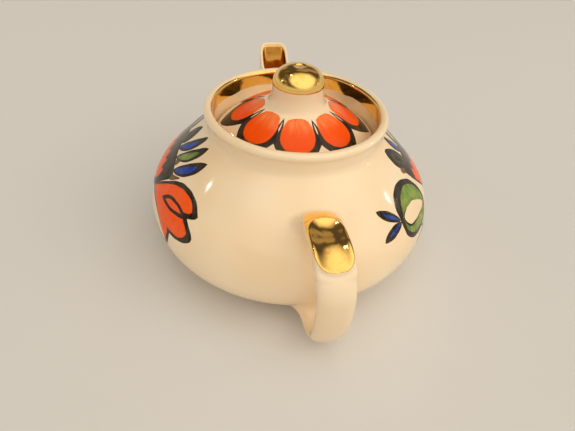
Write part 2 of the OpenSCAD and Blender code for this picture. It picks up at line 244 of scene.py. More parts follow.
def pot_curves():
    """Works out the pot's curves from its sizes, as the frame has them."""
    s, c = bpy.context.scene.teapot_pot, SimpleNamespace()
    c.lip_h, c.bead_r = s.lip_h, s.bead_r
    c.bead_mid = np.array([s.lip_r - s.bead_r, s.lip_h])
    c.collar_in = c.bead_mid[0] - s.bead_r
    c.seat_h = s.lip_h - s.seat_drop
    c.belly_mid = np.array([s.belly_r - s.shoulder_curve, s.belly_h])
    collar_out = c.collar_in + s.wall
    base_mid = np.array([s.belly_r - s.base_curve, s.belly_h])
    shoulder_mid = c.belly_mid + (s.shoulder_curve - SHOULDER_LONG) * ray(SHOULDER_START)
    reach = SHOULDER_LONG + s.neck_fillet
    neck_turn = math.degrees(math.acos((collar_out + s.neck_fillet - shoulder_mid[0]) / reach))
    fillet_mid = shoulder_mid + reach * ray(neck_turn)
    base_h = s.belly_h - s.base_curve
    under = (c.seat_h - LEDGE_T - shoulder_mid[1]) / (SHOULDER_LONG - s.wall)
    ledge_turn = math.degrees(math.asin(under))
    bead_foot = s.lip_h - s.bead_r * BEAD_FOOT
    collar = np.array([collar_out, bead_foot])
    pull = np.array([collar_out, bead_foot + s.bead_r * BEAD_PULL])
    bead = c.bead_mid + s.bead_r * ray(BEAD_TURN)
    belly = (
        arc(base_mid, s.base_curve, 270, 360, 40)
        + arc(c.belly_mid, s.shoulder_curve, 1.5, SHOULDER_START, 26)
        + arc(shoulder_mid, SHOULDER_LONG, SHOULDER_START + 0.5, neck_turn, 12)
        + arc(fillet_mid, s.neck_fillet, 180 + neck_turn, 180, 12)[1:]
    )
    c.surface = np.array(belly + [collar])
    foot_in, foot_out, r = s.foot_r - FOOT_W, s.foot_r, FOOT_ROUND
    c.outside = (
        spots(*[(k, base_h) for k in (0, 0.33 * foot_in, 0.66 * foot_in, foot_in - r)])
        + arc(np.array([foot_in - r, base_h - r]), r, 90, 0, 5)[1:]
        + arc(np.array([foot_in + r, r]), r, 180, 270, 5)
        + arc(np.array([foot_out - r, r]), r, 270, 360, 5)
        + arc(np.array([foot_out + r, base_h - r]), r, 180, 90, 5)
        + belly[1:]
        + [collar, *bend(collar, pull, bead, (0.2, 0.4, 0.6, 0.8))]
        + arc(c.bead_mid, s.bead_r, BEAD_TURN, 180, 28)
    )
    high, low = c.seat_h, c.seat_h - LEDGE_T
    c.inside = (
        spots(*[(c.collar_in, high + (s.lip_h - high) * k) for k in (0.75, 0.5, 0.25)])
        + spots((c.collar_in, high + LEDGE_ROUND), (c.collar_in - LEDGE_ROUND, high))
        + spots((THROAT_R + LEDGE_ROUND, high), (THROAT_R, high - LEDGE_ROUND))
        + spots((THROAT_R, low + LEDGE_ROUND), (THROAT_R + LEDGE_ROUND, low))
        + arc(shoulder_mid, SHOULDER_LONG - s.wall, ledge_turn, SHOULDER_START, 12)
        + arc(c.belly_mid, s.shoulder_curve - s.wall, SHOULDER_START - 2, 0, 20)
        + arc(base_mid, s.base_curve - s.wall, -3, -90, 30)
        + spots(*[(k * base_mid[0], base_h + s.wall) for k in (0.66, 0.33, 0)])
    )
    return c


def radius_at(c, height):
    """The radius of the pot's outside at a height."""
    return np.interp(height, c.surface[:, 1], c.surface[:, 0])


# ---------------------------------------------------------------- meshes


# Angles above which an edge is shaded sharp, in degrees.
THROWN_SHARP, STRAP_SHARP, PAINT_SHARP, DRAWN_SHARP, GILT_SHARP = 35, 50, 55, 60, 70
WELD, SLIVER = 1e-6, 1e-7


def new_object(name, data):
    """An object at the origin that holds a mesh, a lamp or a camera."""
    made = bpy.data.objects.new(name, data)
    bpy.context.scene.collection.objects.link(made)
    return made


def finish_mesh(name, mesh, material, sharp):
    """Welds the mesh, turns its faces outwards and shades it smooth up to an angle."""
    bm = bmesh.new()
    bm.from_mesh(mesh)
    bmesh.ops.remove_doubles(bm, verts=bm.verts, dist=WELD)
    bmesh.ops.dissolve_degenerate(bm, edges=bm.edges, dist=SLIVER)
    bmesh.ops.recalc_face_normals(bm, faces=bm.faces)
    for face in bm.faces:
        face.smooth = True
    limit = math.radians(sharp)
    for edge in bm.edges:
        if len(edge.link_faces) == 2:
            edge.smooth = edge.calc_face_angle(0) < limit
    bm.to_mesh(mesh)
    bm.free()
    mesh.materials.clear()
    mesh.materials.append(material)
    return new_object(name, mesh)


def skinned_piece(name, rings, material, sharp, looped=False):
    """A piece whose surface runs through rings of equal count, closed at its ends or looped."""
    rings = np.asarray(rings, float)
    rows, count = rings.shape[:2]
    points = rings.reshape(-1, 3)
    faces = []
    for row in range(rows if looped else rows - 1):
        a, b = row * count, ((row + 1) % rows) * count
        faces += [(a + i, a + (i + 1) % count, b + (i + 1) % count, b + i) for i in range(count)]
    if not looped:
        points = np.concatenate([points, [rings[0].mean(0), rings[-1].mean(0)]])
        first, last, end = rows * count, rows * count + 1, (rows - 1) * count
        faces += [(first, (i + 1) % count, i) for i in range(count)]
        faces += [(last, end + i, end + (i + 1) % count) for i in range(count)]
    mesh = bpy.data.meshes.new(name)
    mesh.from_pydata([tuple(p) for p in points], [], faces)
    return finish_mesh(name, mesh, material, sharp)


# ---------------------------------------------------------------- node trees


def once(kind, title):
    """Builds a material or a node group the first time only, and finds it by name later."""

    def keep(make):
        @functools.wraps(make)
        def give(*details):
            store, name = getattr(bpy.data, kind), title.format(*details)
            return store[name] if name in store else make(name, *details)

        return give

    return keep


class Tree:
    """A node tree, with short ways to add and link its nodes."""

    def __init__(self, data):
        self.data, self.nodes, self.link = data, data.nodes, data.links.new

    def feed(self, target, value):
        """Links a socket to an input, or sets the input to a plain value."""
        if isinstance(value, bpy.types.NodeSocket):
            self.link(value, target)
        else:
            target.default_value = value

    def add(self, kind, values=None, **settings):
        """Adds a node with its settings, and sets or links the inputs in values."""
        node = self.nodes.new(kind)
        for key, value in settings.items():
            setattr(node, key, value)
        for key, value in (values or {}).items():
            self.feed(node.inputs[key], value)
        return node

    def sums(self, operation, *inputs):
        """One step of arithmetic."""
        return self.add("ShaderNodeMath", dict(enumerate(inputs)), operation=operation).outputs[0]

    def part(self, vector, axis):
        """One axis of a vector."""
        return self.add("ShaderNodeSeparateXYZ", {0: vector}).outputs[axis]

    def fade(self, value, low, high):
        """0 up to low and 1 from high, smooth between them; high may be the lower one."""
        values = {"Value": value, "From Min": min(low, high), "From Max": max(low, high)}
        if low > high:
            values.update({"To Min": 1, "To Max": 0})
        return self.add("ShaderNodeMapRange", values, interpolation_type="SMOOTHSTEP").outputs[0]

    def noise(self, vector, scale, detail=2.0, rough=0.5):
        """Cloudy variation between 0 and 1."""
        values = {"Vector": vector, "Scale": scale, "Detail": detail, "Roughness": rough}
        return self.add("ShaderNodeTexNoise", values).outputs["Fac"]

    def stretched(self, vector, scale):
        """A vector scaled along each axis."""
        return self.add("ShaderNodeMapping", {"Vector": vector, "Scale": scale}).outputs[0]

    def mix(self, share, first, second):
        """A colour between two colours."""
        first, second = (
            each if isinstance(each, bpy.types.NodeSocket) else (*each, 1)
            for each in (first, second)
        )
        values = {0: share, 6: first, 7: second}
        return self.add("ShaderNodeMix", values, data_type="RGBA").outputs[2]

    def place(self):
        """Object coordinates in millimetres."""
        way = self.add("ShaderNodeTexCoord").outputs["Object"]
        return self.stretched(way, (1 / MM, 1 / MM, 1 / MM))

    def painted(self, name, output="Fac"):
        """An attribute that the painting left on a piece."""
        return self.add("ShaderNodeAttribute", attribute_name=name).outputs[output]

    def effect(self, group, values):
        """Places a shared effect, and gives its outputs."""
        return self.add("ShaderNodeGroup", values, node_tree=group).outputs

    def dress(self, colour, roughness, height):
        """Links the shader's colour, roughness and, through a Bump node, its height."""
        shader = self.nodes["Principled BSDF"]
        self.link(colour, shader.inputs["Base Color"])
        self.link(roughness, shader.inputs["Roughness"])
        bump = self.add("ShaderNodeBump", {"Height": height, "Distance": MM})
        self.link(bump.outputs[0], shader.inputs["Normal"])


def new_group(kind, name, inputs, outputs):
    """An empty node group: its tree, what it is given and what it makes, by socket name."""
    group = bpy.data.node_groups.new(name, kind)
    for way, rows in (("INPUT", inputs), ("OUTPUT", outputs)):
        for title, sort, *default in rows:
            made = group.interface.new_socket(
                name=title, in_out=way, socket_type="NodeSocket" + sort
            )
            if default:
                made.default_value = default[0]
    tree = Tree(group)
    return tree, tree.add("NodeGroupInput").outputs, tree.add("NodeGroupOutput").inputs


def end_piece(tree, shape, material, made):
    """Ends a geometry tree: its instances made real and in one material."""
    real = tree.add("GeometryNodeRealizeInstances", {0: shape}).outputs[0]
    tree.link(tree.add("GeometryNodeSetMaterial", {0: real, "Material": material}).outputs[0], made)


@once("node_groups", "Potter's wheel")
def wheel_tree(name):
    """The potter's wheel: turns an outline round the axis into a closed, smooth solid."""
    inputs = (
        ("Outline", "Geometry"),
        ("Facets", "Int", 240),
        ("Sharp angle", "Float", math.radians(THROWN_SHARP)),
        ("Material", "Material"),
    )
    tree, given, made = new_group("GeometryNodeTree", name, inputs, [("Piece", "Geometry")])
    add, sums = tree.add, tree.sums
    line = add("GeometryNodeAttributeDomainSize", {0: given["Outline"]})
    rows = line.outputs["Point Count"]
    last, posts = sums("SUBTRACT", rows, 1), sums("ADD", given["Facets"], 1)
    size = {"Size X": last, "Size Y": given["Facets"], "Vertices X": rows, "Vertices Y": posts}
    grid = add("GeometryNodeMeshGrid", size).outputs["Mesh"]
    spot = add("GeometryNodeInputPosition").outputs[0]
    row = sums("ROUND", sums("ADD", tree.part(spot, "X"), sums("MULTIPLY", last, 0.5)))
    share = sums("DIVIDE", tree.part(spot, "Y"), given["Facets"])
    angle = sums("MULTIPLY", share, 2 * math.pi)
    drawn = add(
        "GeometryNodeSampleIndex",
        {"Geometry": given["Outline"], "Value": spot, "Index": row},
        data_type="FLOAT_VECTOR",
        domain="POINT",
    ).outputs["Value"]
    radius, height = tree.part(drawn, "X"), tree.part(drawn, "Z")
    x, y = (sums("MULTIPLY", radius, sums(kind, angle)) for kind in ("COSINE", "SINE"))
    turned = add("ShaderNodeCombineXYZ", {"X": x, "Y": y, "Z": height}).outputs[0]
    shape = add("GeometryNodeSetPosition", {"Geometry": grid, "Position": turned}).outputs[0]
    shape = add("GeometryNodeMergeByDistance", {"Geometry": shape, "Distance": WELD}).outputs[0]
    shape = add("GeometryNodeSetShadeSmooth", {"Geometry": shape}).outputs[0]
    bent = add("GeometryNodeInputMeshEdgeAngle").outputs["Unsigned Angle"]
    hard = sums("GREATER_THAN", bent, given["Sharp angle"])
    crisp = {"Geometry": shape, "Selection": hard, "Shade Smooth": False}
    shape = add("GeometryNodeSetShadeSmooth", crisp, domain="EDGE").outputs[0]
    end_piece(tree, shape, given["Material"], made["Piece"])
    return tree.data


def grown(name, carrier, tree, values, sharp):
    """A plain mesh piece from what a geometry tree makes of a carrier, which is removed.
    Inputs are set by their sockets' identifiers."""
    maker = carrier.modifiers.new(tree.name, "NODES")
    maker.node_group = tree
    sockets = {
        item.name: item.identifier
        for item in tree.interface.items_tree
        if item.item_type == "SOCKET" and item.in_out == "INPUT"
    }
    for title, value in values.items():
        maker[sockets[title]] = value
    mesh = frozen(carrier)
    mesh.name = name
    bpy.data.objects.remove(carrier)
    return finish_mesh(name, mesh, values["Material"], sharp)


def frozen(carrier):
    """A piece's evaluated result as a plain mesh; its modifiers are removed."""
    bpy.context.view_layer.update()
    evaluated = carrier.evaluated_get(bpy.context.evaluated_depsgraph_get())
    mesh = bpy.data.meshes.new_from_object(evaluated)
    carrier.modifiers.clear()
    return mesh


def turned_piece(name, outline, material, facets=None, sharp=THROWN_SHARP):
    """A piece thrown on the wheel from an outline of (radius, height) points."""
    mesh = bpy.data.meshes.new(name + "_outline")
    edges = [(i, i + 1) for i in range(len(outline) - 1)]
    mesh.from_pydata([(r, 0, z) for r, z in outline], edges, [])
    facets = facets or bpy.context.scene.teapot_pot.facets
    values = {"Facets": facets, "Sharp angle": math.radians(sharp), "Material": material}
    return grown(name, new_object(mesh.name, mesh), wheel_tree(), values, sharp)


# ---------------------------------------------------------------- materials


def new_material(name, base, **values):
    """A new Principled material in one colour, and its tree."""
    made = bpy.data.materials.new(name)
    made.use_nodes = True
    values = {"Base Color": (*base, 1), **values}
    for key, value in values.items():
        made.node_tree.nodes["Principled BSDF"].inputs[key].default_value = value
    return made, Tree(made.node_tree)


# The ripple's broad and fine waves: scale in cycles a millimetre, and share.
BROAD_SCALE, BROAD_SHARE, FINE_SCALE, FINE_SHARE = 0.12, 1.2, 1.1, 0.16
# The least gloss and what the broad waves add to it. Masks are named by where they begin and
# where they are full.
GLOSS_LEAST, GLOSS_MORE = 0.8, 0.4
PIT_SCALE, PIT_CHANCE, PIT_MASK = 0.11, (0.84, 0.86), (0.024, 0.012)


@once("node_groups", "Melted glass")
def melted_glass(name):
    """The skin of anything fired with glass in it: faint ripple, uneven gloss, rare specks."""
    inputs = ("Ripple", "Float", 0.01), ("Gloss", "Float", 0.1), ("Grain", "Float", 1.0)
    outputs = ("Height", "Float"), ("Roughness", "Float"), ("Specks", "Float")
    look, given, made = new_group("ShaderNodeTree", name, inputs, outputs)
    sums, place, grain = look.sums, look.place(), given["Grain"]
    broad = look.noise(place, sums("MULTIPLY", grain, BROAD_SCALE), 1.0)
    fine = look.noise(place, sums("MULTIPLY", grain, FINE_SCALE), 1.0)
    small = sums("MULTIPLY", fine, FINE_SHARE)
    height = sums("ADD", sums("MULTIPLY", broad, BROAD_SHARE), small)
    uneven = sums("ADD", GLOSS_LEAST, sums("MULTIPLY", broad, GLOSS_MORE))
    values = {"Vector": place, "Scale": sums("MULTIPLY", grain, PIT_SCALE)}
    pits = look.add("ShaderNodeTexVoronoi", values).outputs
    chance = look.add("ShaderNodeSeparateColor", {0: pits["Color"]}).outputs[0]
    wanted, dot = look.fade(chance, *PIT_CHANCE), look.fade(pits["Distance"], *PIT_MASK)
    look.link(sums("MULTIPLY", height, given["Ripple"]), made["Height"])
    look.link(sums("MULTIPLY", given["Gloss"], uneven), made["Roughness"])
    look.link(sums("MULTIPLY", dot, wanted), made["Specks"])
    return look.data


# The brush's hairs: how they are drawn out across and along the chart, the noise's detail and
# roughness, and their height in millimetres.
HAIR_STRETCH, HAIR_NOISE, HAIR_HEIGHT = (2.6, 0.16, 1), (3.0, 0.6), 0.02
CLOUD_SCALE, CLOUD_SHARE, BARE_MASK, POOL_MASK = 0.16, 0.5, (0.55, 0.95), (1.0, 0.1)


@once("node_groups", "Brush marks")
def brush_marks(name):
    """Enamel laid with a brush: streaks where it runs thin, and a pooled, darker edge."""
    inputs = (
        ("Colour", "Color", (1, 0.3, 0.1, 1)),
        ("Thin colour", "Color", (1, 0.6, 0.4, 1)),
        ("Thinness", "Float", 0.3),
        ("Streaks", "Float", 1.0),
        ("Pooling", "Float", 0.3),
        ("Reach", "Float", 0.9),
    )
    outputs = ("Colour", "Color"), ("Height", "Float")
    look, given, made = new_group("ShaderNodeTree", name, inputs, outputs)
    sums, chart = look.sums, look.painted("paint_chart", "Vector")
    hairs = look.noise(look.stretched(chart, HAIR_STRETCH), given["Streaks"], *HAIR_NOISE)
    cloud = sums("MULTIPLY", look.noise(chart, CLOUD_SCALE), CLOUD_SHARE)
    bare = look.fade(sums("ADD", hairs, cloud), *BARE_MASK)
    worn = look.add("ShaderNodeClamp", {0: sums("MULTIPLY", bare, given["Thinness"])}).outputs[0]
    inward = sums("DIVIDE", look.painted("paint_core"), given["Reach"])
    edge = sums("MULTIPLY", look.fade(inward, *POOL_MASK), given["Pooling"])
    values = {"Value": sums("SUBTRACT", 1.0, edge), "Color": given["Colour"]}
    pooled = look.add("ShaderNodeHueSaturation", values).outputs[0]
    look.link(look.mix(worn, pooled, given["Thin colour"]), made["Colour"])
    look.link(sums("MULTIPLY", hairs, HAIR_HEIGHT), made["Height"])
    return look.data


GLAZE_SKIN, GLAZE_SHINE = {"Ripple": 0.012, "Gloss": 0.1, "Grain": 1.0}, 0.5
POOL_SCALE, THICK_MASK, SPECK_SHARE = 0.03, (0.35, 0.7), 0.55
# The ragged edge of the wiped foot: its scale, its rise and where the wiping ends, in
# millimetres above the table.
RAG_SCALE, RAG_RISE, WIPED_MASK = 0.3, 0.5, (1.0, 0.8)
# The bare clay's grit: noise, mask, and what it adds to roughness and to height.
GRIT_NOISE, GRIT_MASK, GRIT_ROUGH, GRIT_HEIGHT = (3.0, 3.0, 0.7), (0.4, 0.7), 0.55, 0.05


@once("materials", "glazed porcelain")
def glazed_porcelain(name):
    """Warm white porcelain under a clear, hard glaze, wiped bare where the foot stands."""
    f = bpy.context.scene.teapot_finishes
    made, look = new_material(name, f.glaze, **{"Specular IOR Level": GLAZE_SHINE})
    sums, place = look.sums, look.place()
    glass = look.effect(melted_glass(), GLAZE_SKIN)
    pooled = look.fade(look.noise(place, POOL_SCALE, 1.0), *THICK_MASK)
    body = look.mix(pooled, f.glaze, f.glaze_thick)
    spotted = look.mix(sums("MULTIPLY", glass["Specks"], SPECK_SHARE), body, f.speck)
    ragged = sums("MULTIPLY", look.noise(place, RAG_SCALE), RAG_RISE)
    wiped = look.fade(sums("ADD", look.part(place, "Z"), ragged), *WIPED_MASK)
    grit = look.noise(place, *GRIT_NOISE)
    clay = look.mix(look.fade(grit, *GRIT_MASK), f.clay, f.clay_dark)
    rough = sums("ADD", glass["Roughness"], sums("MULTIPLY", wiped, GRIT_ROUGH))
    coarse = sums("MULTIPLY", sums("MULTIPLY", grit, wiped), GRIT_HEIGHT)
    look.dress(look.mix(wiped, spotted, clay), rough, sums("ADD", glass["Height"], coarse))
    return made


GOLD_SKIN = {"Ripple": 0.05, "Gloss": 0.06, "Grain": 1.6}
THIN_NOISE, THIN_MASK = (0.22, 3.0, 0.6), (0.5, 0.75)
# The rubbing marks: how they are drawn out, their noise, and what they add to roughness and
# to height.
RUB_STRETCH, RUB_NOISE, RUB_ROUGH, RUB_HEIGHT = (0.3, 0.3, 3.0), (1.6, 3.0, 0.7), 0.08, 0.006


@once("materials", "burnished gold")
def burnished_gold(name):
    """Bright fired gold: mirror bright, browner where it lies thin, with fine rubbing marks."""
    f = bpy.context.scene.teapot_finishes
    made, look = new_material(name, f.gold, Metallic=1.0)
    sums, place = look.sums, look.place()
    glass = look.effect(melted_glass(), GOLD_SKIN)
    thin = look.fade(look.noise(place, *THIN_NOISE), *THIN_MASK)
    rubbed = look.noise(look.stretched(place, RUB_STRETCH), *RUB_NOISE)
    rough = sums("ADD", glass["Roughness"], sums("MULTIPLY", rubbed, RUB_ROUGH))
    height = sums("ADD", glass["Height"], sums("MULTIPLY", rubbed, RUB_HEIGHT))
    look.dress(look.mix(thin, f.gold, f.gold_thin), rough, height)
    return made


ENAMEL_SKIN, ENAMEL_SHINE = {"Ripple": 0.02, "Gloss": 0.16, "Grain": 2.2}, 0.17
ENAMELS = {
    # kind: colour, thin colour, thinness, streaks, pooling at the edge, its reach in mm
    "ink": ("ink", "ink_thin", 0.6, 0.7, 0.1, 0.9),
    "thin ink": ("ink_thin", "ink", 0.6, 1.3, 0.4, 1.6),
    "orange": ("orange", "salmon", 0.3, 0.8, 0.2, 0.9),
    "petal": ("orange", "salmon", None, 1.0, 0.15, 0.9),
    "cobalt": ("cobalt", "sky", 0.55, 1.2, 0.35, 0.9),
    "green": ("green", "lime", 0.9, 0.8, 0.55, 2.8),
    "ochre": ("ochre", "ink_thin", 0.5, 1.0, 0.3, 0.9),
}
# Where the petals' orange begins to turn paler towards the knob and where it is palest, in
# millimetres from the axis, and how thin it is beyond them and what is added towards the knob.
PETAL_MASK, PETAL_THIN, PETAL_PALER = (25, 15.5), 0.1, 1.6


@once("materials", "{} enamel")
def enamel_finish(name, kind):
    """A glossy fired enamel in one colour, with its brush marks."""
    strong, weak, thinness, streaks, pooling, reach = ENAMELS[kind]
    p = bpy.context.scene.teapot_paint
    strong, weak = getattr(p, strong), getattr(p, weak)
    made, look = new_material(name, strong, **{"Specular IOR Level": ENAMEL_SHINE})
    if thinness is None:
        # Each petal's orange turns paler towards the knob, by its distance from the axis.
        out = look.part(look.painted("paint_chart", "Vector"), "Y")
        wiped = look.sums("MULTIPLY", look.fade(out, *PETAL_MASK), PETAL_PALER)
        thinness = look.sums("ADD", PETAL_THIN, wiped)
    values = {"Colour": (*strong, 1), "Thin colour": (*weak, 1), "Thinness": thinness}
    values.update({"Streaks": streaks, "Pooling": pooling, "Reach": reach})
    marks = look.effect(brush_marks(), values)
    glass = look.effect(melted_glass(), ENAMEL_SKIN)
    height = look.sums("ADD", marks["Height"], glass["Height"])
    look.dress(marks["Colour"], glass["Roughness"], height)
    return made


# ---------------------------------------------------------------- the pot


# Each row of strainer holes: its angle above the widest part, in degrees, and its count.
STRAINER_ROWS, STRAINER_STEP = ((14, 2), (26, 3), (38, 2)), 0.006
STRAINER_SEGMENTS, STRAINER_DEEP = 32, 4


def pierce_strainer(pot, c):
    """Pierces three staggered rows of holes in the wall behind the spout."""
    s, bm = bpy.context.scene.teapot_pot, bmesh.new()
    for lift, count in STRAINER_ROWS:
        for i in range(count):
            spread = (i - (count - 1) / 2) * STRAINER_STEP / s.belly_r
            aside = Quaternion((0, 0, 1), spread)
            way = aside @ Vector((ray(lift)[0], 0, ray(lift)[1]))
            foot = aside @ Vector((c.belly_mid[0], 0, c.belly_mid[1]))
            upright = way.to_track_quat("Z", "Y").to_matrix().to_4x4()
            bmesh.ops.create_cone(
                bm,
                cap_ends=True,
                segments=STRAINER_SEGMENTS,
                radius1=s.strainer_r,
                radius2=s.strainer_r,
                depth=STRAINER_DEEP * s.wall,
                matrix=Matrix.Translation(foot + way * s.shoulder_curve) @ upright,
            )
    mesh = bpy.data.meshes.new("piercing")
    bm.to_mesh(mesh)
    bm.free()
    tool = new_object("piercing", mesh)
    cut = pot.modifiers.new("Strainer", "BOOLEAN")
    cut.operation, cut.solver, cut.object = "DIFFERENCE", "EXACT", tool
    pot.data = frozen(pot)
    bpy.data.objects.remove(tool)


class TEAPOT_OT_pot(bpy.types.Operator):
    """Turns the pot: foot ring, belly, shoulder, collar, rolled lip and lid ledge"""

    bl_idname = "teapot.pot"
    bl_label = "Turn the pot"

    def execute(self, context):
        c = pot_curves()
        pot = turned_piece("pot", c.outside + c.inside, glazed_porcelain())
        pierce_strainer(pot, c)
        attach(pot, "pot")
        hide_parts("foot", "pot_body", "shoulder", "neck", "lid_ledge")
        return {"FINISHED"}


# ---------------------------------------------------------------- the lid


EDGE_R, EDGE_OVERLAP = 0.0014, 6
SEAT_GAP = 0.0001
DOME_START = 70
SKIRT_T, SKIRT_BEND, SKIRT_EDGE = 0.0024, 0.0005, 0.0008
STEAM_HOLE_R = 0.006
CAP_SIDE, CAP_CROWN, CAP_STEPS = 0.8, 0.95, 48
VENT_ROUND = 0.0009


def lid_curves():
    """Works out the lid's dome, edge and knob from their sizes."""
    s, c, d = bpy.context.scene.teapot_lid, pot_curves(), SimpleNamespace()
    d.base = c.seat_h + SEAT_GAP
    d.edge_mid = np.array([s.lid_r - EDGE_R, d.base + EDGE_R])
    d.curve = s.dome_curve
    axis = s.knob_foot_r - s.dome_curve * ray(DOME_START)[0]
    d.end = math.degrees(math.acos((d.edge_mid[0] - axis) / (s.dome_curve - EDGE_R)))
    d.mid = np.array([axis, d.edge_mid[1] - (s.dome_curve - EDGE_R) * ray(d.end)[1]])
    d.top = d.mid[1] + s.dome_curve * ray(DOME_START)[1]
    d.skirt_low = c.seat_h - s.skirt_drop
    d.cap_base = d.top + s.knob_neck_h
    vent = (s.vent_r + VENT_ROUND) / s.knob_r
    d.vent_turn = math.degrees(math.acos(vent ** (1 / CAP_SIDE)))
    return d


def cap_curve(skin_depth):
    """The knob's cap from its lower edge to the vent, a skin below the gilded surface."""
    s, d = bpy.context.scene.teapot_lid, lid_curves()
    turns = [ray(d.vent_turn * i / CAP_STEPS) for i in range(CAP_STEPS + 1)]
    wide, high = s.knob_r - skin_depth, s.cap_h - skin_depth
    return spots(
        *[(wide * a[0] ** CAP_SIDE, d.cap_base + high * max(a[1], 0) ** CAP_CROWN) for a in turns]
    )


def vent_mid(skin_depth):
    """The middle of the rounded edge of the steam vent."""
    return cap_curve(skin_depth)[-1] - np.array([0, VENT_ROUND])


class TEAPOT_OT_lid(bpy.types.Operator):
    """Turns the domed lid with its beaded edge and locating skirt"""

    bl_idname = "teapot.lid"
    bl_label = "Turn the lid"

    def execute(self, context):
        s, d = context.scene.teapot_lid, lid_curves()
        low, out, under = d.skirt_low, s.skirt_r, s.dome_curve - 2 * EDGE_R
        within = out - SKIRT_T
        skirt_turn = math.degrees(math.acos((within - d.mid[0]) / under))
        under_hole = d.mid[1] + under * ray(DOME_START)[1]
        outline = (
            spots((STEAM_HOLE_R, d.top))
            + arc(d.mid, s.dome_curve, DOME_START, d.end, 60)
            + arc(d.edge_mid, EDGE_R, d.end - EDGE_OVERLAP, -90, 16)
            + spots((out + SKIRT_BEND, d.base), (out, d.base - SKIRT_BEND))
            + spots((out, low + SKIRT_EDGE), (out - SKIRT_EDGE, low))
            + spots((within + SKIRT_EDGE, low), (within, low + SKIRT_EDGE))
            + arc(d.mid, under, skirt_turn, DOME_START, 30)
            + spots((STEAM_HOLE_R, under_hole), (STEAM_HOLE_R, d.top))
        )
        lid = turned_piece("lid", outline, glazed_porcelain())
        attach(lid, "lid")
        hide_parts("lid", "lid_skirt")
        return {"FINISHED"}


KNOB_BORE, KNOB_ROOF, KNOB_BEVEL, KNOB_FACETS = 0.0092, 0.0032, 0.003, 144
# The neck flares to its foot by a power of the height, and is smoothed out on the dome from
# a low place on it to just past the dome's start, sunk a hair into the clay.
NECK_HOLLOW, NECK_LOW, NECK_SPREAD, NECK_SUNK = 3, 0.12, 1.2, 0.00002
# How far the knob's hollow and its outer edge reach down into the lid.
BORE_SUNK, FOOT_SUNK = 0.0002, 0.0003


class TEAPOT_OT_knob(bpy.types.Operator):
    """Turns the hollow knob, smoothed into the lid, with its steam vent"""

    bl_idname = "teapot.knob"
    bl_label = "Turn the knob"

    def execute(self, context):
        s, d, gilt = context.scene.teapot_lid, lid_curves(), context.scene.teapot_finishes.gilt
        roof = d.cap_base + s.cap_h - KNOB_ROOF
        flare = s.knob_foot_r - s.knob_r
        neck = [
            np.array([s.knob_r + flare * (1 - k) ** NECK_HOLLOW, d.top + s.knob_neck_h * k])
            for k in np.linspace(NECK_LOW, 1, 19)
        ]
        start = d.mid + (s.dome_curve - NECK_SUNK) * ray(DOME_START - NECK_SPREAD)
        pull = np.array([s.knob_foot_r, d.top])
        foot = bend(start, pull, neck[0], np.linspace(0, 1, 12))
        bore_low = (KNOB_BORE, d.top - BORE_SUNK)
        outline = (
            spots(bore_low, foot[0] - np.array([0, FOOT_SUNK]))
            + foot
            + neck[1:]
            + cap_curve(gilt)
            + arc(vent_mid(gilt), VENT_ROUND, 90, 180, 8)[1:]
            + spots((s.vent_r, roof), (KNOB_BORE - KNOB_BEVEL, roof))
            + spots((KNOB_BORE, roof - KNOB_BEVEL), bore_low)
        )
        knob = turned_piece("knob", outline, glazed_porcelain(), facets=KNOB_FACETS)
        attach(knob, "lid")
        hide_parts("knob")
        return {"FINISHED"}


# ---------------------------------------------------------------- roots luted to the pot


# The step over which the pot's slope is taken, the rows of points round a root's fillet, and
# how far its edge is sunk into the pot.
ROOT_STEP, ROOT_ROWS, ROOT_SUNK = 0.0004, 14, 0.0008
# The least that a root's points may lean away from the axis, and how fast they come free.
ROOT_LEAN, ROOT_FREE = 0.2, 0.5


def slope_at(c, height):
    """How fast the pot's radius grows with height."""
    return (radius_at(c, height + ROOT_STEP) - radius_at(c, height - ROOT_STEP)) / (2 * ROOT_STEP)


def surface_normal(c, point):
    """The way out of the pot's outside surface at a point on it."""
    flat = np.array([point[0], point[1], 0]) / np.hypot(point[0], point[1])
    normal = flat - np.array([0, 0, slope_at(c, point[2])])
    return normal / np.linalg.norm(normal)


def along_line(line, places):
    """Points at fractional places on a line of points."""
    at = np.arange(len(line))
    return np.stack([np.interp(places, at, line[:, axis]) for axis in range(3)], -1)


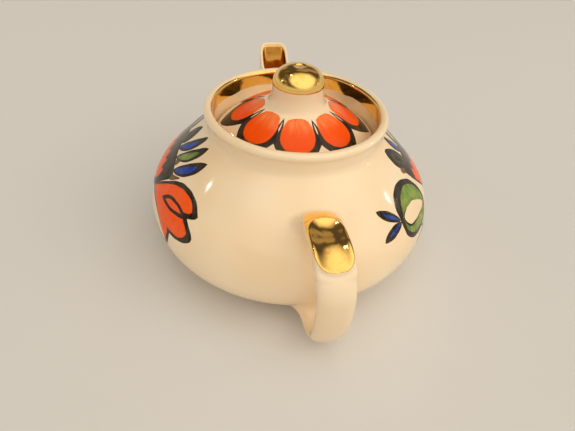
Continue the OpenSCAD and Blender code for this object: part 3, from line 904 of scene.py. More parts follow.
def rooted_lines(lines, c, fillet, stations):
    """Cuts each line of a strap or spout where it leaves the pot, and rounds it out onto
    the pot. Lines run outwards; fillet gives each line's reach along the pot."""
    lines = np.asarray(lines, float)
    rows, count = lines.shape[:2]
    around = np.roll(lines, -1, axis=1) - np.roll(lines, 1, axis=1)
    out = np.cross(around, np.gradient(lines, axis=0))
    out /= np.maximum(np.linalg.norm(out, axis=2, keepdims=True), 1e-12)
    if ((lines - lines.mean(1, keepdims=True)) * out).sum() < 0:
        out = -out
    gap = np.hypot(lines[..., 0], lines[..., 1]) - radius_at(c, lines[..., 2])
    off = gap / np.sqrt(1 + slope_at(c, lines[..., 2]) ** 2)
    at, turns, rooted = np.arange(rows), np.linspace(0, math.pi / 2, ROOT_ROWS), []
    for i in range(count):
        within = np.nonzero(off[:, i] <= 0)[0]
        k = within[-1] if len(within) else 0
        rise = np.maximum.accumulate(off[k:, i]) + 1e-9 * np.arange(rows - k)
        reach = fillet[i]
        wanted = np.interp(reach * (1 - np.cos(turns)), rise, at[k:])
        beyond = np.linspace(wanted[-1], rows - 1, stations - ROOT_ROWS)[1:]
        bases, pushes = along_line(lines[:, i], wanted), along_line(out[:, i], wanted)
        line = []
        for base, push, turned in zip(bases, pushes, turns):
            away = surface_normal(c, base)
            push = push - away * (push @ away)
            spot = base + push / np.linalg.norm(push) * reach * (1 - math.sin(turned))
            lean = max(away[:2] @ (spot[:2] / np.hypot(*spot[:2])), ROOT_LEAN)
            clear = reach * (1 - math.cos(turned)) / lean
            held = spot.copy()
            held[:2] *= (radius_at(c, spot[2]) + clear) / np.hypot(*spot[:2])
            line.append(spot + (held - spot) * (1 - turned / (math.pi / 2)) ** ROOT_FREE)
        sunk = line[0] - surface_normal(c, line[0]) * ROOT_SUNK
        rooted.append([sunk, *line, *along_line(lines[:, i], beyond)])
    return np.array(rooted).transpose(1, 0, 2)


# ---------------------------------------------------------------- the handle


# The strap's bends, from the pot over the thumb rest and down to the heel: radii and lengths
# in metres, and the angles at which they end in degrees.
SPRING_R, ARM_TURN, ARM_L = 0.008, 84, 0.012
CORNER_R, BACK_R, BACK_TURN = 0.0153, 0.075, 204
HEEL_R, HEEL_TURN, HEEL_L = 0.011, 281, 0.014
# How much the strap widens and thickens at its roots, and how much of that the bends have.
ROOT_FLARE_W, ROOT_FLARE_T, HEEL_FLARE, SPRING_FLARE = 0.008, 0.004, 0.25, 0.4
STRAP_SQUARE = 2.2
# The dish of the thumb rest: its ends along the strap, its width there and in the middle, and
# the powers that shape its outline, its bowl, its ends and its toe.
DISH_FROM, DISH_TO, DISH_W, DISH_TIP_W = -0.0093, 0.016, 0.0154, 0.005
DISH_ROUND, DISH_BOWL, DISH_RAMP, DISH_TOE = 2.6, 2.4, 3, 3.0
DISH_MID, DISH_HALF = (DISH_FROM + DISH_TO) / 2, (DISH_TO - DISH_FROM) / 2
# The raised pad round the dish: what it adds in width and height, and how it fades out.
PAD_EXTRA, PAD_RISE, PAD_SQUARE, PAD_EDGE, PAD_FADE, PAD_LIP = 0.0007, 0.0012, 2.4, 12, 0.35, 0.16
PAD_END = 4
# A place on the strap's face that is well clear of the dish.
FAR = 0.2
# Stations along the strap's spring, arm, dish, corner, back, heel and lower end, and the one
# at which the half that is rooted above meets the half that is rooted below.
STATIONS, HALF_WAY = (40, 6, 56, 40, 20, 30, 20), 110
# Points across the dish, across each side of it and round the underside.
DISH_STEPS, RIM_STEPS, UNDER_STEPS = 24, 12, 34


def strap_frames():
    """Stations along the strap: middle, outward turn, place on the top face, root flare."""
    s = bpy.context.scene.teapot_handle
    corner = np.array([CORNER_R + s.strap_t / 2 - s.reach, s.top - s.strap_t / 2 - CORNER_R])
    back = corner + np.array([BACK_R - CORNER_R, 0])
    heel = back + (BACK_R - HEEL_R) * ray(BACK_TURN)
    arm_end = corner + CORNER_R * ray(ARM_TURN) + ARM_L * ray(ARM_TURN - 90)
    spring = arm_end - SPRING_R * ray(ARM_TURN)
    face_r = CORNER_R + s.strap_t / 2
    dish_turn = ARM_TURN + math.degrees(DISH_TO / face_r)

    def top(place):
        if place > 0:
            a = ARM_TURN + math.degrees(place / face_r)
            return corner + CORNER_R * ray(a), a, place, 0
        return corner + CORNER_R * ray(ARM_TURN) - place * ray(ARM_TURN - 90), ARM_TURN, place, 0

    def run(start, end, steps):
        return np.linspace(start, end, steps, endpoint=False)

    spring_n, arm_n, dish_n, corner_n, back_n, heel_n, end_n = STATIONS
    frames = []
    for a in run(0, ARM_TURN, spring_n):
        place = -ARM_L - math.radians(ARM_TURN - a) * (SPRING_R + s.strap_t / 2)
        flare = SPRING_FLARE * ((ARM_TURN - a) / ARM_TURN) ** 2
        frames.append((spring + SPRING_R * ray(a), a, place, flare))
    frames += [top(p) for p in run(-ARM_L, DISH_FROM, arm_n)]
    frames += [top(DISH_MID - DISH_HALF * math.cos(k)) for k in run(0, math.pi, dish_n)]
    for a in run(dish_turn, 180, corner_n):
        frames.append((corner + CORNER_R * ray(a), a, face_r * math.radians(a - ARM_TURN), 0))
    frames += [(back + BACK_R * ray(a), a, FAR, 0) for a in run(180, BACK_TURN, back_n)]
    for a in run(BACK_TURN, HEEL_TURN, heel_n):
        flare = HEEL_FLARE * ease((a - BACK_TURN) / (HEEL_TURN - BACK_TURN))
        frames.append((heel + HEEL_R * ray(a), a, FAR, flare))
    for on in np.linspace(0, HEEL_L, end_n):
        at = heel + HEEL_R * ray(HEEL_TURN) + on * ray(HEEL_TURN - 270)
        frames.append((at, HEEL_TURN, FAR, HEEL_FLARE + (1 - HEEL_FLARE) * on / HEEL_L))
    return frames


def dish_end(place):
    """0 in the middle of the thumb rest and 1 at its ends."""
    return abs(place - DISH_MID) / DISH_HALF


def dish_half(place):
    """Half the dish's width; its toe is squarer than its heel."""
    u = min(dish_end(place), 1)
    square = DISH_TOE if place > DISH_MID else DISH_ROUND
    return max(DISH_W / 2 * (1 - u**square) ** (1 / square), DISH_TIP_W / 2)


def face_height(f, y):
    """Height of the strap's top face above its middle at a distance from its centre line."""
    s, end = bpy.context.scene.teapot_handle, dish_end(f[2])
    swell = float(ease((1 + PAD_FADE - end) / PAD_FADE))
    width = s.strap_w + PAD_EXTRA * swell + ROOT_FLARE_W * f[3]
    k, square = abs(2 * y / width), STRAP_SQUARE + PAD_SQUARE * swell
    low = (s.strap_t + ROOT_FLARE_T * f[3]) / 2 * max(0, 1 - k**square) ** (1 / square)
    far = (end**DISH_ROUND + min(k, 1) ** DISH_ROUND) ** (1 / DISH_ROUND)
    lip = max(float(ease((1 + PAD_LIP - far) / PAD_LIP)), float(ease(1 - end**PAD_END)))
    return low + PAD_RISE * lip * (1 - min(k, 1) ** PAD_EDGE), width


def strap_ring(f):
    """One ring of the strap, from the dish round the underside and back."""
    s = bpy.context.scene.teapot_handle
    u, half = min(dish_end(f[2]), 1), dish_half(f[2])
    dish = []
    for v in -np.cos(np.linspace(0, math.pi, DISH_STEPS + 1)):
        sink = s.dish_depth * (1 - u**DISH_RAMP) * (1 - abs(v) ** DISH_BOWL)
        dish.append((v * half, face_height(f, v * half)[0] - sink))
    width = face_height(f, 0)[1]
    depth = s.strap_t + ROOT_FLARE_T * f[3]

    def rim(side):
        q = np.sin(np.linspace(0, math.pi / 2, RIM_STEPS + 1)[1:])
        return [(p, face_height(f, p)[0]) for p in side * (half + (width / 2 - half) * q)]

    under = []
    for a in np.linspace(0, math.pi, UNDER_STEPS)[1:-1]:
        c, e = math.cos(a), 2 / STRAP_SQUARE
        under.append((width / 2 * math.copysign(abs(c) ** e, c), -depth / 2 * math.sin(a) ** e))
    return dish + rim(1) + under + rim(-1)[::-1]


def placed(f, ring):
    """Sets a ring's points in place at a station of the strap, with the handle's lean."""
    s = bpy.context.scene.teapot_handle
    at = [f[0] + p[1] * ray(f[1]) for p in ring]
    return np.array([(q[0], -p[0] - s.lean * (1 - q[1] / s.top), q[1]) for p, q in zip(ring, at)])


class TEAPOT_OT_handle(bpy.types.Operator):
    """Pulls the strap handle and lutes its two roots to the pot"""

    bl_idname = "teapot.handle"
    bl_label = "Pull the handle"

    def execute(self, context):
        s, c, frames = context.scene.teapot_handle, pot_curves(), strap_frames()
        rings = np.array([placed(f, strap_ring(f)) for f in frames])
        up = np.array([p[1] for p in strap_ring(frames[0])])
        reach = s.fillet - (s.fillet - s.top_fillet) * ease(up / s.strap_t * 2)
        upper, lower = rings[: HALF_WAY + 1], rings[HALF_WAY:][::-1]
        upper = rooted_lines(upper, c, reach, len(upper) + ROOT_ROWS)
        lower = rooted_lines(lower, c, np.full(len(up), s.fillet), len(lower) + ROOT_ROWS)[::-1]
        rings = np.concatenate([upper, lower[1:]])
        handle = skinned_piece("handle", rings, glazed_porcelain(), STRAP_SHARP)
        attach(handle, "pot")
        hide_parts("handle")
        return {"FINISHED"}


# ---------------------------------------------------------------- the spout


# The mouth's slant in degrees, its depth from front to back, and the spout's size at its root.
MOUTH_TURN, MOUTH_DEPTH = 34, 0.018
SPOUT_ROOT_W, SPOUT_ROOT_DEPTH = 0.034, 0.038
# How square the front is lower down and at the mouth, and where it changes.
FRONT_SQUARE, MOUTH_SQUARE, LIP_FROM, MOUTH_FROM = 0.55, 0.36, 0.62, 0.7
LIP_FLARE, LIP_OUT = 0.07, 0.0014
# The poles of the spout's middle curve, in millimetres from its tip.
SPOUT_POLES = (-20, -50), (-1.5, -39.5), (-1, -21.5), (0.5, 8.5)
# Points round the spout and along its curve, then along its finished outside, its inside, its
# gilding, its root with the rest of the outside, and over its rim.
SPOUT_ROUND, SPOUT_ROWS, OUTER_ROWS, INNER_ROWS, LINING_ROWS = 120, 140, 130, 60, 50
ROOTED_ROWS, SPOUT_RIM_ROWS, SPOUT_RIM_RISE = 100, 9, 0.9
# How far inside the pot's wall the spout's bore begins, and the step along the curve over
# which its heading is taken.
BORE_IN, HEADING_STEP = 0.0012, 0.01


def spout_ring(t, skin_depth):
    """A ring round the spout at a place on its curve, less a skin."""
    s = bpy.context.scene.teapot_spout
    tip = np.array([s.reach - MOUTH_DEPTH / 2, s.height])
    p = [tip + MM * np.array(pole) for pole in SPOUT_POLES]

    def at(k):
        near = (1 - k) ** 3 * p[0] + 3 * k * (1 - k) ** 2 * p[1]
        return near + 3 * k * k * (1 - k) * p[2] + k**3 * p[3]

    mid, way = at(t), at(t + HEADING_STEP) - at(t - HEADING_STEP)
    heading = math.degrees(math.atan2(way[1], way[0]))
    swell = (1 - t) ** 2
    half_w = (s.mouth_w + (SPOUT_ROOT_W - s.mouth_w) * swell) / 2 - skin_depth
    half_d = (MOUTH_DEPTH + (SPOUT_ROOT_DEPTH - MOUTH_DEPTH) * swell) / 2 - skin_depth
    squarer = ease((t - LIP_FROM) / (MOUTH_FROM - LIP_FROM))
    front = FRONT_SQUARE + (MOUTH_SQUARE - FRONT_SQUARE) * squarer
    ring = []
    for a in np.linspace(0, 2 * math.pi, SPOUT_ROUND, endpoint=False):
        co, si = math.cos(a), math.sin(a)
        e = front if co > 0 else 1
        q = mid + half_d * math.copysign(abs(co) ** e, co) * ray(heading - 90)
        q[0] += LIP_FLARE * max(t - LIP_FROM, 0) ** 3 * max(co, 0)
        ring.append((q[0], -half_w * math.copysign(abs(si) ** e, si), q[1]))
    return np.array(ring)


def mouth_up():
    """The way up out of the oblique mouth."""
    return np.array([-ray(90 - MOUTH_TURN)[0], 0, ray(90 - MOUTH_TURN)[1]])


def mouth_lines(skin_depth, drop=0.0):
    """Each line of the spout's wall, and where it meets the oblique mouth, lowered by drop."""
    s = bpy.context.scene.teapot_spout
    lines = np.array([spout_ring(k / SPOUT_ROWS, skin_depth) for k in range(SPOUT_ROWS + 1)])
    over = (lines - np.array([s.reach + LIP_OUT, 0, s.height - drop])) @ mouth_up()
    ends = []
    for i in range(lines.shape[1]):
        k = int(np.nonzero(over[:, i] > 0)[0][0])
        ends.append(k - over[k, i] / (over[k, i] - over[k - 1, i]))
    return lines, np.array(ends)


def resampled(lines, starts, ends, count):
    """Each line between two places on it, as the same number of points."""
    wanted = [np.linspace(start, end, count) for start, end in zip(starts, ends)]
    return np.stack([along_line(lines[:, i], places) for i, places in enumerate(wanted)], 1)


class TEAPOT_OT_spout(bpy.types.Operator):
    """Draws the spout with its oblique mouth and lutes it to the belly"""

    bl_idname = "teapot.spout"
    bl_label = "Draw the spout"

    def execute(self, context):
        s, c = context.scene.teapot_spout, pot_curves()
        outer, ends = mouth_lines(0)
        outer = resampled(outer, 0 * ends, ends, OUTER_ROWS)
        outer = rooted_lines(outer, c, np.full(SPOUT_ROUND, s.fillet), ROOTED_ROWS)
        inner, ends = mouth_lines(s.wall)
        gap = np.hypot(inner[..., 0], inner[..., 1]) - radius_at(c, inner[..., 2])
        starts = np.argmax(gap > -BORE_IN, axis=0)
        inner = resampled(inner, starts, ends, INNER_ROWS)
        mid, arm = (outer[-1] + inner[-1]) / 2, (outer[-1] - inner[-1]) / 2
        rise = mouth_up() * np.linalg.norm(arm, axis=1, keepdims=True) * SPOUT_RIM_RISE
        turns = np.linspace(0, math.pi, SPOUT_RIM_ROWS)[1:-1]
        rim = [mid + arm * math.cos(a) + rise * math.sin(a) for a in turns]
        rings = np.concatenate([outer, rim, inner[::-1]])
        spout = skinned_piece("spout", rings, glazed_porcelain(), DRAWN_SHARP, looped=True)
        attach(spout, "pot")
        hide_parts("spout")
        return {"FINISHED"}


# ---------------------------------------------------------------- the gilding


# The angle on the lip's bead from which the gilded band runs down, and to which it climbs, the
# rows of points down the collar and over the bead, and the rise and fall of its lower edge.
BAND_TURN, GOLD_TOP, BAND_ROWS, BEAD_ROWS, BAND_SWAY = 176, 130, 16, 9, 0.0004
# The waves of that edge: how many go round, how strong they are, and where they start.
BAND_WAVES = (5, 1, 0.7), (11, 0.6, 2.1), (23, 0.4, 0)
# The gold on the thumb rest: how far it runs past the dish at heel and toe, in halves of the
# dish, how far it stays off the strap's sides, its squareness and its narrowest half width.
GILT_HEEL, GILT_TOE, GILT_SIDE, GILT_SQUARE, GILT_TIP = 0.78, 0.03, 0.0001, 4, 0.0004
# How far a coat's back is sunk into the clay, and the gold's reach into the steam vent.
GILT_SUNK, VENT_IN, VENT_CLEAR, VENT_FROM = 0.00002, 0.001, 0.00005, 82


def gold_cap(gold, gilt):
    """The gilded cap of the knob, turned into the steam vent."""
    face, back = vent_mid(0), vent_mid(gilt)
    into_vent = arc(face, VENT_ROUND, VENT_FROM, 180, 9)
    under_vent = arc(back, VENT_ROUND, 180, VENT_FROM, 9)
    line = cap_curve(0) + into_vent + [into_vent[-1] - np.array([0, VENT_IN])]
    line += [under_vent[0] + np.array([VENT_CLEAR, -VENT_IN])] + under_vent
    line += cap_curve(gilt)[::-1] + line[:1]
    return turned_piece("gold_cap", line, gold, facets=KNOB_FACETS, sharp=GILT_SHARP)


def gold_band(gold, thin, height):
    """The gilded band inside the lip, with a lower edge that a hand has drawn."""
    c = pot_curves()
    low = c.lip_h - height

    def line(lift):
        down = spots(*[(c.collar_in - lift, z) for z in np.linspace(low, c.lip_h, BAND_ROWS)])
        return down + arc(c.bead_mid, c.bead_r + lift, BAND_TURN, GOLD_TOP, BEAD_ROWS)

    loop = line(thin) + line(0)[::-1] + line(thin)[:1]
    band = turned_piece("gold_band", loop, gold, sharp=GILT_SHARP)
    for point in band.data.vertices:
        turned = math.atan2(point.co.y, point.co.x)
        wave = sum(share * math.sin(many * turned + start) for many, share, start in BAND_WAVES)
        point.co.z += BAND_SWAY * wave * max(0, 1 - (point.co.z - low) / height)
    return band


def gold_dish(gold, thin):
    """The gold in the thumb rest, which runs on over the arm."""
    rings = []
    for f in strap_frames():
        toe = f[2] > DISH_MID
        over, square = (GILT_TOE, DISH_TOE) if toe else (GILT_HEEL, GILT_SQUARE)
        end = dish_end(f[2]) / (1 + over)
        if end < 1:
            ring = strap_ring(f)
            face = np.array(ring[-RIM_STEPS:] + ring[: DISH_STEPS + 1 + RIM_STEPS])
            edge = max((face[-1, 0] - GILT_SIDE) * (1 - end**square) ** (1 / square), GILT_TIP)
            across = np.clip(face[:, 0], -edge, edge)
            height = np.interp(across, face[:, 0], face[:, 1])
            above, below = zip(across, height + thin), zip(across, height - GILT_SUNK)
            rings.append(placed(f, [*above, *[*below][::-1]]))
    return skinned_piece("gold_dish", rings, gold, DRAWN_SHARP)


def gold_lining(gold, thin):
    """The gold inside the spout's mouth."""
    s, coats = bpy.context.scene.teapot_spout, []
    for depth in (s.wall + thin, s.wall - GILT_SUNK):
        lines, high = mouth_lines(depth)
        low = mouth_lines(depth, s.lining_drop)[1]
        coats.append(resampled(lines, low, high, LINING_ROWS))
    rings = np.concatenate([coats[0], coats[1][::-1]])
    return skinned_piece("gold_spout_lining", rings, gold, DRAWN_SHARP, looped=True)


class TEAPOT_OT_gilding(bpy.types.Operator):
    """Lays the gold on the knob, inside the lip, in the thumb rest and in the spout"""

    bl_idname = "teapot.gilding"
    bl_label = "Lay the gilding"

    def execute(self, context):
        f, gold = context.scene.teapot_finishes, burnished_gold()
        cap = gold_cap(gold, f.gilt)
        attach(cap, "lid")
        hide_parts("knob_gilding")
        band = gold_band(gold, f.gilt / 2, f.band_h)
        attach(band, "pot")
        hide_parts("rim_gilding")
        dish = gold_dish(gold, f.gilt / 2)
        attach(dish, "pot")
        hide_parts("thumb_rest_gilding")
        lining = gold_lining(gold, f.gilt / 2)
        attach(lining, "pot")
        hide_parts("spout_gilding")
        return {"FINISHED"}


# ---------------------------------------------------------------- enamel painting


# A painting is drawn on a flat chart: x is degrees round the pot and y is a distance in
# millimetres. DEGREE is what a degree counts for in the chart, in metres.
DEGREE = 0.0011
CHART = np.array([DEGREE, MM])
# What a degree and a millimetre measure on the belly, for shapes that keep their width.
BELLY_SCALE = np.array([DEGREE / MM * 0.9, 1])
STROKE_STEPS, LEAF_STEPS, LEAF_FULL, BRUSH_TIP = 5, 15, 0.62, 0.3
# The mesh of a coat: its rows and its distance from the edges, in cells, and the share of its
# thickness that it has at its edge.
ROW_STEP, CELL_CLEAR, EDGE_THICK, CUT_WELD = 0.87, 0.4, 0.3, 1e-7
# How far a hand's wavering moves an edge on the belly and on the lid, and its pitch.
BELLY_WAVER, LID_WAVER, WAVER_PITCH, WAVER_SHIFT = 0.00008, 0.00006, 900, 3
# How high the coats lie over each other, in thicknesses of one coat.
OVER_BARE, OVER_EDGE, OVER_INK, OVER_ALL = 0, 0.5, 0.7, 1.5


def stroke(points, steps=STROKE_STEPS):
    """A smooth line through points, as a brush would run through them."""
    p = np.array(points, float)
    if len(p) < 3:
        return p
    p = np.concatenate([[2 * p[0] - p[1]], p, [2 * p[-1] - p[-2]]])
    out = []
    for a, b, c, d in zip(p, p[1:], p[2:], p[3:]):
        pull, bow, swing = c - a, 2 * a - 5 * b + 4 * c - d, 3 * b - a - 3 * c + d
        for t in np.arange(steps) / steps:
            out.append(0.5 * (2 * b + pull * t + bow * t * t + swing * t**3))
    return np.array(out + [p[-2]])


def outline(*strokes):
    """A closed loop of strokes that meet in corners: each starts where the last one ends, and
    the first one where the loop does."""
    loop, corner = [], strokes[-1][-1]
    for points in strokes:
        loop.append(stroke([corner, *points])[:-1])
        corner = points[-1]
    return np.concatenate(loop)


def ring(points):
    """A closed loop that runs smoothly all the way round."""
    lead = 2 * STROKE_STEPS
    line = stroke([*points[-2:], *points, *points[:3]])
    return line[lead:-lead][: STROKE_STEPS * len(points)]


def leaf(base, tip, width, bow=0.0, start=0.0, end=1.0):
    """An almond leaf from base to tip, bowed to its left; start and end trim its length."""
    base, tip = np.array(base, float), np.array(tip, float)
    along = (tip - base) * BELLY_SCALE
    side = np.array([-along[1], along[0]]) / np.linalg.norm(along)
    t = np.linspace(0, 1, LEAF_STEPS)
    half = (width / 2 * np.sin(np.pi * t) ** LEAF_FULL)[:, None]
    place = (start + (end - start) * t)[:, None]
    middle = base * BELLY_SCALE + place * along
    middle = middle + (bow * 4 * place * (1 - place)) * side
    left, right = middle + half * side, middle - half * side
    return np.concatenate([left, right[-2:0:-1]]) / BELLY_SCALE


def brush(points, width):
    """One stroke of a loaded brush along a line, full in its middle and thin at its ends."""
    line = stroke(points) * BELLY_SCALE
    way = np.gradient(line, axis=0)
    side = np.stack([-way[:, 1], way[:, 0]], 1) / np.linalg.norm(way, axis=1, keepdims=True)
    swell = np.sin(np.linspace(0, math.pi, len(line)))[:, None]
    half = width / 2 * (BRUSH_TIP + (1 - BRUSH_TIP) * swell)
    return np.concatenate([line + half * side, (line - half * side)[::-1]]) / BELLY_SCALE


def inside_loops(points, loops):
    """Which points lie inside the loops, holes left out."""
    inside = np.zeros(len(points), bool)
    for loop in loops:
        for (x0, y0), (x1, y1) in zip(loop, np.roll(loop, -1, axis=0)):
            crosses = (y0 > points[:, 1]) != (y1 > points[:, 1])
            with np.errstate(divide="ignore", invalid="ignore"):
                x = (x1 - x0) * (points[:, 1] - y0) / (y1 - y0) + x0
            inside ^= crosses & (points[:, 0] < x)
    return inside


def edge_distance(points, loops):
    """Distance of each point from the nearest loop."""
    best = np.full(len(points), np.inf)
    for loop in loops:
        way = np.roll(loop, -1, axis=0) - loop
        long = np.maximum((way * way).sum(1), 1e-18)
        t = np.clip(((points[:, None] - loop) * way).sum(2) / long, 0, 1)
        off = np.linalg.norm(points[:, None] - (loop + t[..., None] * way), axis=2)
        best = np.minimum(best, off.min(1))
    return best


def filled(loops, cell):
    """Points and triangles that fill an outline and leave out its holes."""
    corners, edges, first = np.concatenate(loops), [], 0
    for loop in loops:
        edges += [(first + i, first + (i + 1) % len(loop)) for i in range(len(loop))]
        first += len(loop)
    low, high = corners.min(0), corners.max(0)
    rows = np.arange(low[1], high[1], cell * ROW_STEP)
    x, y = np.meshgrid(np.arange(low[0], high[0], cell), rows)
    x[1::2] += cell / 2
    grid = np.stack([x.ravel(), y.ravel()], 1)
    grid = grid[inside_loops(grid, loops)]
    if len(grid):
        grid = grid[edge_distance(grid, loops) > CELL_CLEAR * cell]
    spread = [Vector(p) for p in (*corners, *grid)]
    cut = geometry.delaunay_2d_cdt(spread, edges, [], 0, CUT_WELD)
    flat = np.array([tuple(p) for p in cut[0]])
    triangles = [t for t in cut[2] if len(t) == 3]
    keep = inside_loops(np.array([flat[list(t)].mean(0) for t in triangles]), loops)
    return flat, [t for t, kept in zip(triangles, keep) if kept]


def enamel(name, shapes, set_down, base, material, waver):
    """Lays a coat of enamel as thin closed slabs. Each shape is an outline and its holes, and
    set_down puts chart points on the pot at a height above its glaze."""
    s = bpy.context.scene.teapot_paint
    points, faces, core, place, first = [], [], [], [], 0
    for loops in shapes:
        loops = [loop * CHART for loop in loops]
        shift = WAVER_SHIFT * len(shapes)
        loops = [loop + waver * np.sin(loop[:, ::-1] * WAVER_PITCH + shift) for loop in loops]
        flat, triangles = filled(loops, s.cell)
        away, count = edge_distance(flat, loops), len(flat)
        rise = s.thick * (EDGE_THICK + (1 - EDGE_THICK) * ease(away / s.cell))
        points += [set_down(flat, base + rise), set_down(flat, np.full(count, base - s.thick / 2))]
        core += [away, away]
        place += [flat, flat]
        rim = {}
        for a, b, c in triangles:
            faces += [(first + a, first + b, first + c)]
            faces += [(first + count + c, first + count + b, first + count + a)]
            rim.update(dict.fromkeys(((a, b), (b, c), (c, a))))
        for a, b in rim:
            if (b, a) not in rim:
                faces.append((first + b, first + a, first + count + a, first + count + b))
        first += 2 * count
    mesh = bpy.data.meshes.new(name)
    mesh.from_pydata([tuple(p) for p in np.concatenate(points)], [], faces)
    body = mesh.attributes.new("paint_core", "FLOAT", "POINT")
    body.data.foreach_set("value", (np.concatenate(core) / MM).astype(np.float32))
    spread = np.zeros((first, 3), np.float32)
    spread[:, :2] = np.concatenate(place) / MM
    chart = mesh.attributes.new("paint_chart", "FLOAT_VECTOR", "POINT")
    chart.data.foreach_set("vector", spread.ravel())
    return finish_mesh(name, mesh, material, PAINT_SHARP)


def round_axis(angle, r, z):
    """Points round the pot's axis, from an angle that starts at the handle."""
    return np.stack([-r * np.cos(angle), r * np.sin(angle), z], 1)


def on_belly(face_turn):
    """Puts chart points, degrees round the pot and distance up its side, on one face."""
    side = pot_curves().surface
    up = np.concatenate([[0], np.cumsum(np.linalg.norm(np.diff(side, axis=0), axis=1))])
    up -= up[int(np.argmax(side[:, 0]))]
    way = np.gradient(side, up, axis=0)
    way /= np.linalg.norm(way, axis=1, keepdims=True)

    def set_down(chart, lift):
        r, z, out, rise = (
            np.interp(chart[:, 1], up, each)
            for each in (side[:, 0], side[:, 1], way[:, 1], way[:, 0])
        )
        angle = np.radians(chart[:, 0] / DEGREE) + face_turn
        return round_axis(angle, r + lift * out, z - lift * rise)

    return set_down


def on_lid():
    """Puts chart points, degrees round the lid and distance from its axis, on the dome."""
    d = lid_curves()

    def set_down(chart, lift):
        side = (chart[:, 1] - d.mid[0]) / d.curve
        z = d.mid[1] + (d.curve + lift) * np.sqrt(1 - side**2)
        return round_axis(np.radians(chart[:, 0] / DEGREE), chart[:, 1] + lift * side, z)

    return set_down


LEAVES = (
    # colour, base, tip, width, bow, share of the width that the colour fills
    ("cobalt", (81.0, 27.0), (62.6, 43.2), 6.8, 0.8, 0.56),
    ("green", (88.0, 30.3), (69.8, 48.6), 6.6, 0.9, 0.56),
    ("cobalt", (95.0, 32.0), (77.6, 51.4), 6.2, 1.0, 0.56),
    ("thin", (101.5, 31.0), (93.4, 49.4), 9.0, 0.3, 0.62),
    ("green", (107.5, 34.5), (109.5, 51.0), 5.2, 0.0, 0.56),
    ("cobalt", (111.5, 34.5), (121.2, 51.4), 5.6, -0.4, 0.56),
    ("thin", (117.5, 30.5), (133.2, 48.4), 11.0, -0.6, 0.62),
    ("cobalt", (152.2, 20.0), (163.6, 29.8), 4.6, 0.3, 0.34),
    ("cobalt", (152.0, 19.4), (164.4, 15.2), 4.6, 0.4, 0.34),
    ("green", (104.0, -6.0), (88.0, -10.5), 5.0, -0.6, 0.5),
    ("cobalt", (106.0, -6.5), (122.0, -9.0), 5.0, 0.6, 0.5),
    ("green", (128.0, 3.5), (141.0, -3.0), 4.6, 0.5, 0.5),
)
# Where along a leaf its colour begins and ends, and the same for a dark leaf and its vein.
LEAF_FILL, DARK_FILL, VEIN = (0.07, 0.76), (0.1, 0.84), (0.36, 0.62)
VEIN_SHARE = 0.2


def leaves():
    """The almond leaves: their ink, and their colours by name."""
    ink, fills = [], {"cobalt": [], "green": [], "thin": []}
    for kind, base, tip, width, bow, share in LEAVES:
        ink.append([leaf(base, tip, width, bow)])
        trim = DARK_FILL if kind == "thin" else LEAF_FILL
        loops = [leaf(base, tip, width * share, bow, *trim)]
        if kind == "thin":
            loops.append(leaf(base, tip, width * VEIN_SHARE, bow, *VEIN))
        fills[kind].append(loops)
    return ink, fills


def bloom():
    """The tulip-like bloom: its ink, its orange, and the ink of its seed loop."""
    ink = outline(
        [(85, 15), (79, 21.2), (74, 25.6), (69.5, 28.3), (65, 29.4), (60, 29.2), (56, 27.8),
         (53, 25.7), (50.2, 22)],
        [(51, 20.4), (54.4, 18.4)],
        [(52.4, 16.5), (50, 14), (48.7, 11.8)],
        [(49.5, 9.6), (53.4, 7), (57.5, 6), (61, 5.9)],
        [(61.6, 2.4), (63.6, -4)],
        [(66, 0.5), (70, 5.4), (75, 8), (81, 9.5), (90, 10.5)],
    )
    orange = outline(
        [(80.5, 18), (75, 22.8), (69.5, 26), (64, 27.2), (59, 26.6), (55.6, 24.7), (53.7, 22.2)],
        [(54.8, 20.9), (57, 19.9)],
        [(56.2, 17.4), (53.8, 15), (52, 12.6)],
        [(52.8, 10.2), (55, 8.4), (58, 7.6), (61, 7.6), (63.2, 7.4)],
        [(62.9, 4.5), (64.4, -1.2)],
        [(66.4, 1.6), (69.6, 6), (74, 8.8), (80, 10.6), (86.8, 11.6)],
    )
    seed = outline(
        [(72.5, 18.2), (70, 20.1), (66, 21.1), (61.2, 20.8), (57.5, 19.9), (55.3, 19.6)],
        [(55.8, 17.4), (60.5, 16.1), (64, 15.5), (68, 15.2), (71.7, 15.4), (74.4, 15.8)],
    )
    heart = outline(
        [(68.6, 18.9), (65, 19.7), (61.2, 19.4), (58.4, 18.5)],
        [(61.9, 17.3), (65.2, 16.8), (68.8, 16.6), (71.3, 17.0)],
    )
    return [ink], [orange], [seed, heart]


# Tips and valleys of the crown's teeth, and how far a tooth swells above its valley.
TIPS = (
    (88.3, 20.4), (93.6, 23.2), (99, 25.2), (105.5, 26.4), (112, 27.3), (118.5, 27.8),
    (124.3, 27.2),
)
VALLEYS = (91.2, 18.6), (96.4, 20.8), (102.4, 22.2), (109, 23), (115.6, 23.4), (121.6, 23.2)
TOOTH_SWELL = 0.7


def palmette():
    """The carnation-like palmette: its ink, and the orange of its toothed crown."""
    ink = outline(
        [(96, 5.5), (90, 9.5), (85, 14.8), (80, 21), (77, 25)],
        [(79.2, 26.6), (86, 30), (95, 33.4), (99, 36.4), (104, 38.2), (109, 38.4), (114, 37.2),
         (119, 34.6), (124, 34), (129, 34.4)],
        [(126.5, 28.5), (122.5, 20.5), (117.5, 13), (110.5, 6), (103, 2)],
    )
    teeth = []
    for tip, valley in zip(np.array(TIPS), np.array(VALLEYS)):
        teeth += [tip, *bend(tip, valley + (0, TOOTH_SWELL), valley, (0.5, 1))]
    left = stroke([(103, 4), (96, 7.5), (91.4, 11.8), (88.2, 16), TIPS[0]])[:-1]
    right = stroke([TIPS[-1], (121, 19.8), (116, 12.8), (109.6, 7.2), (103, 4)])[:-1]
    return [ink], [np.concatenate([left, teeth, right])]


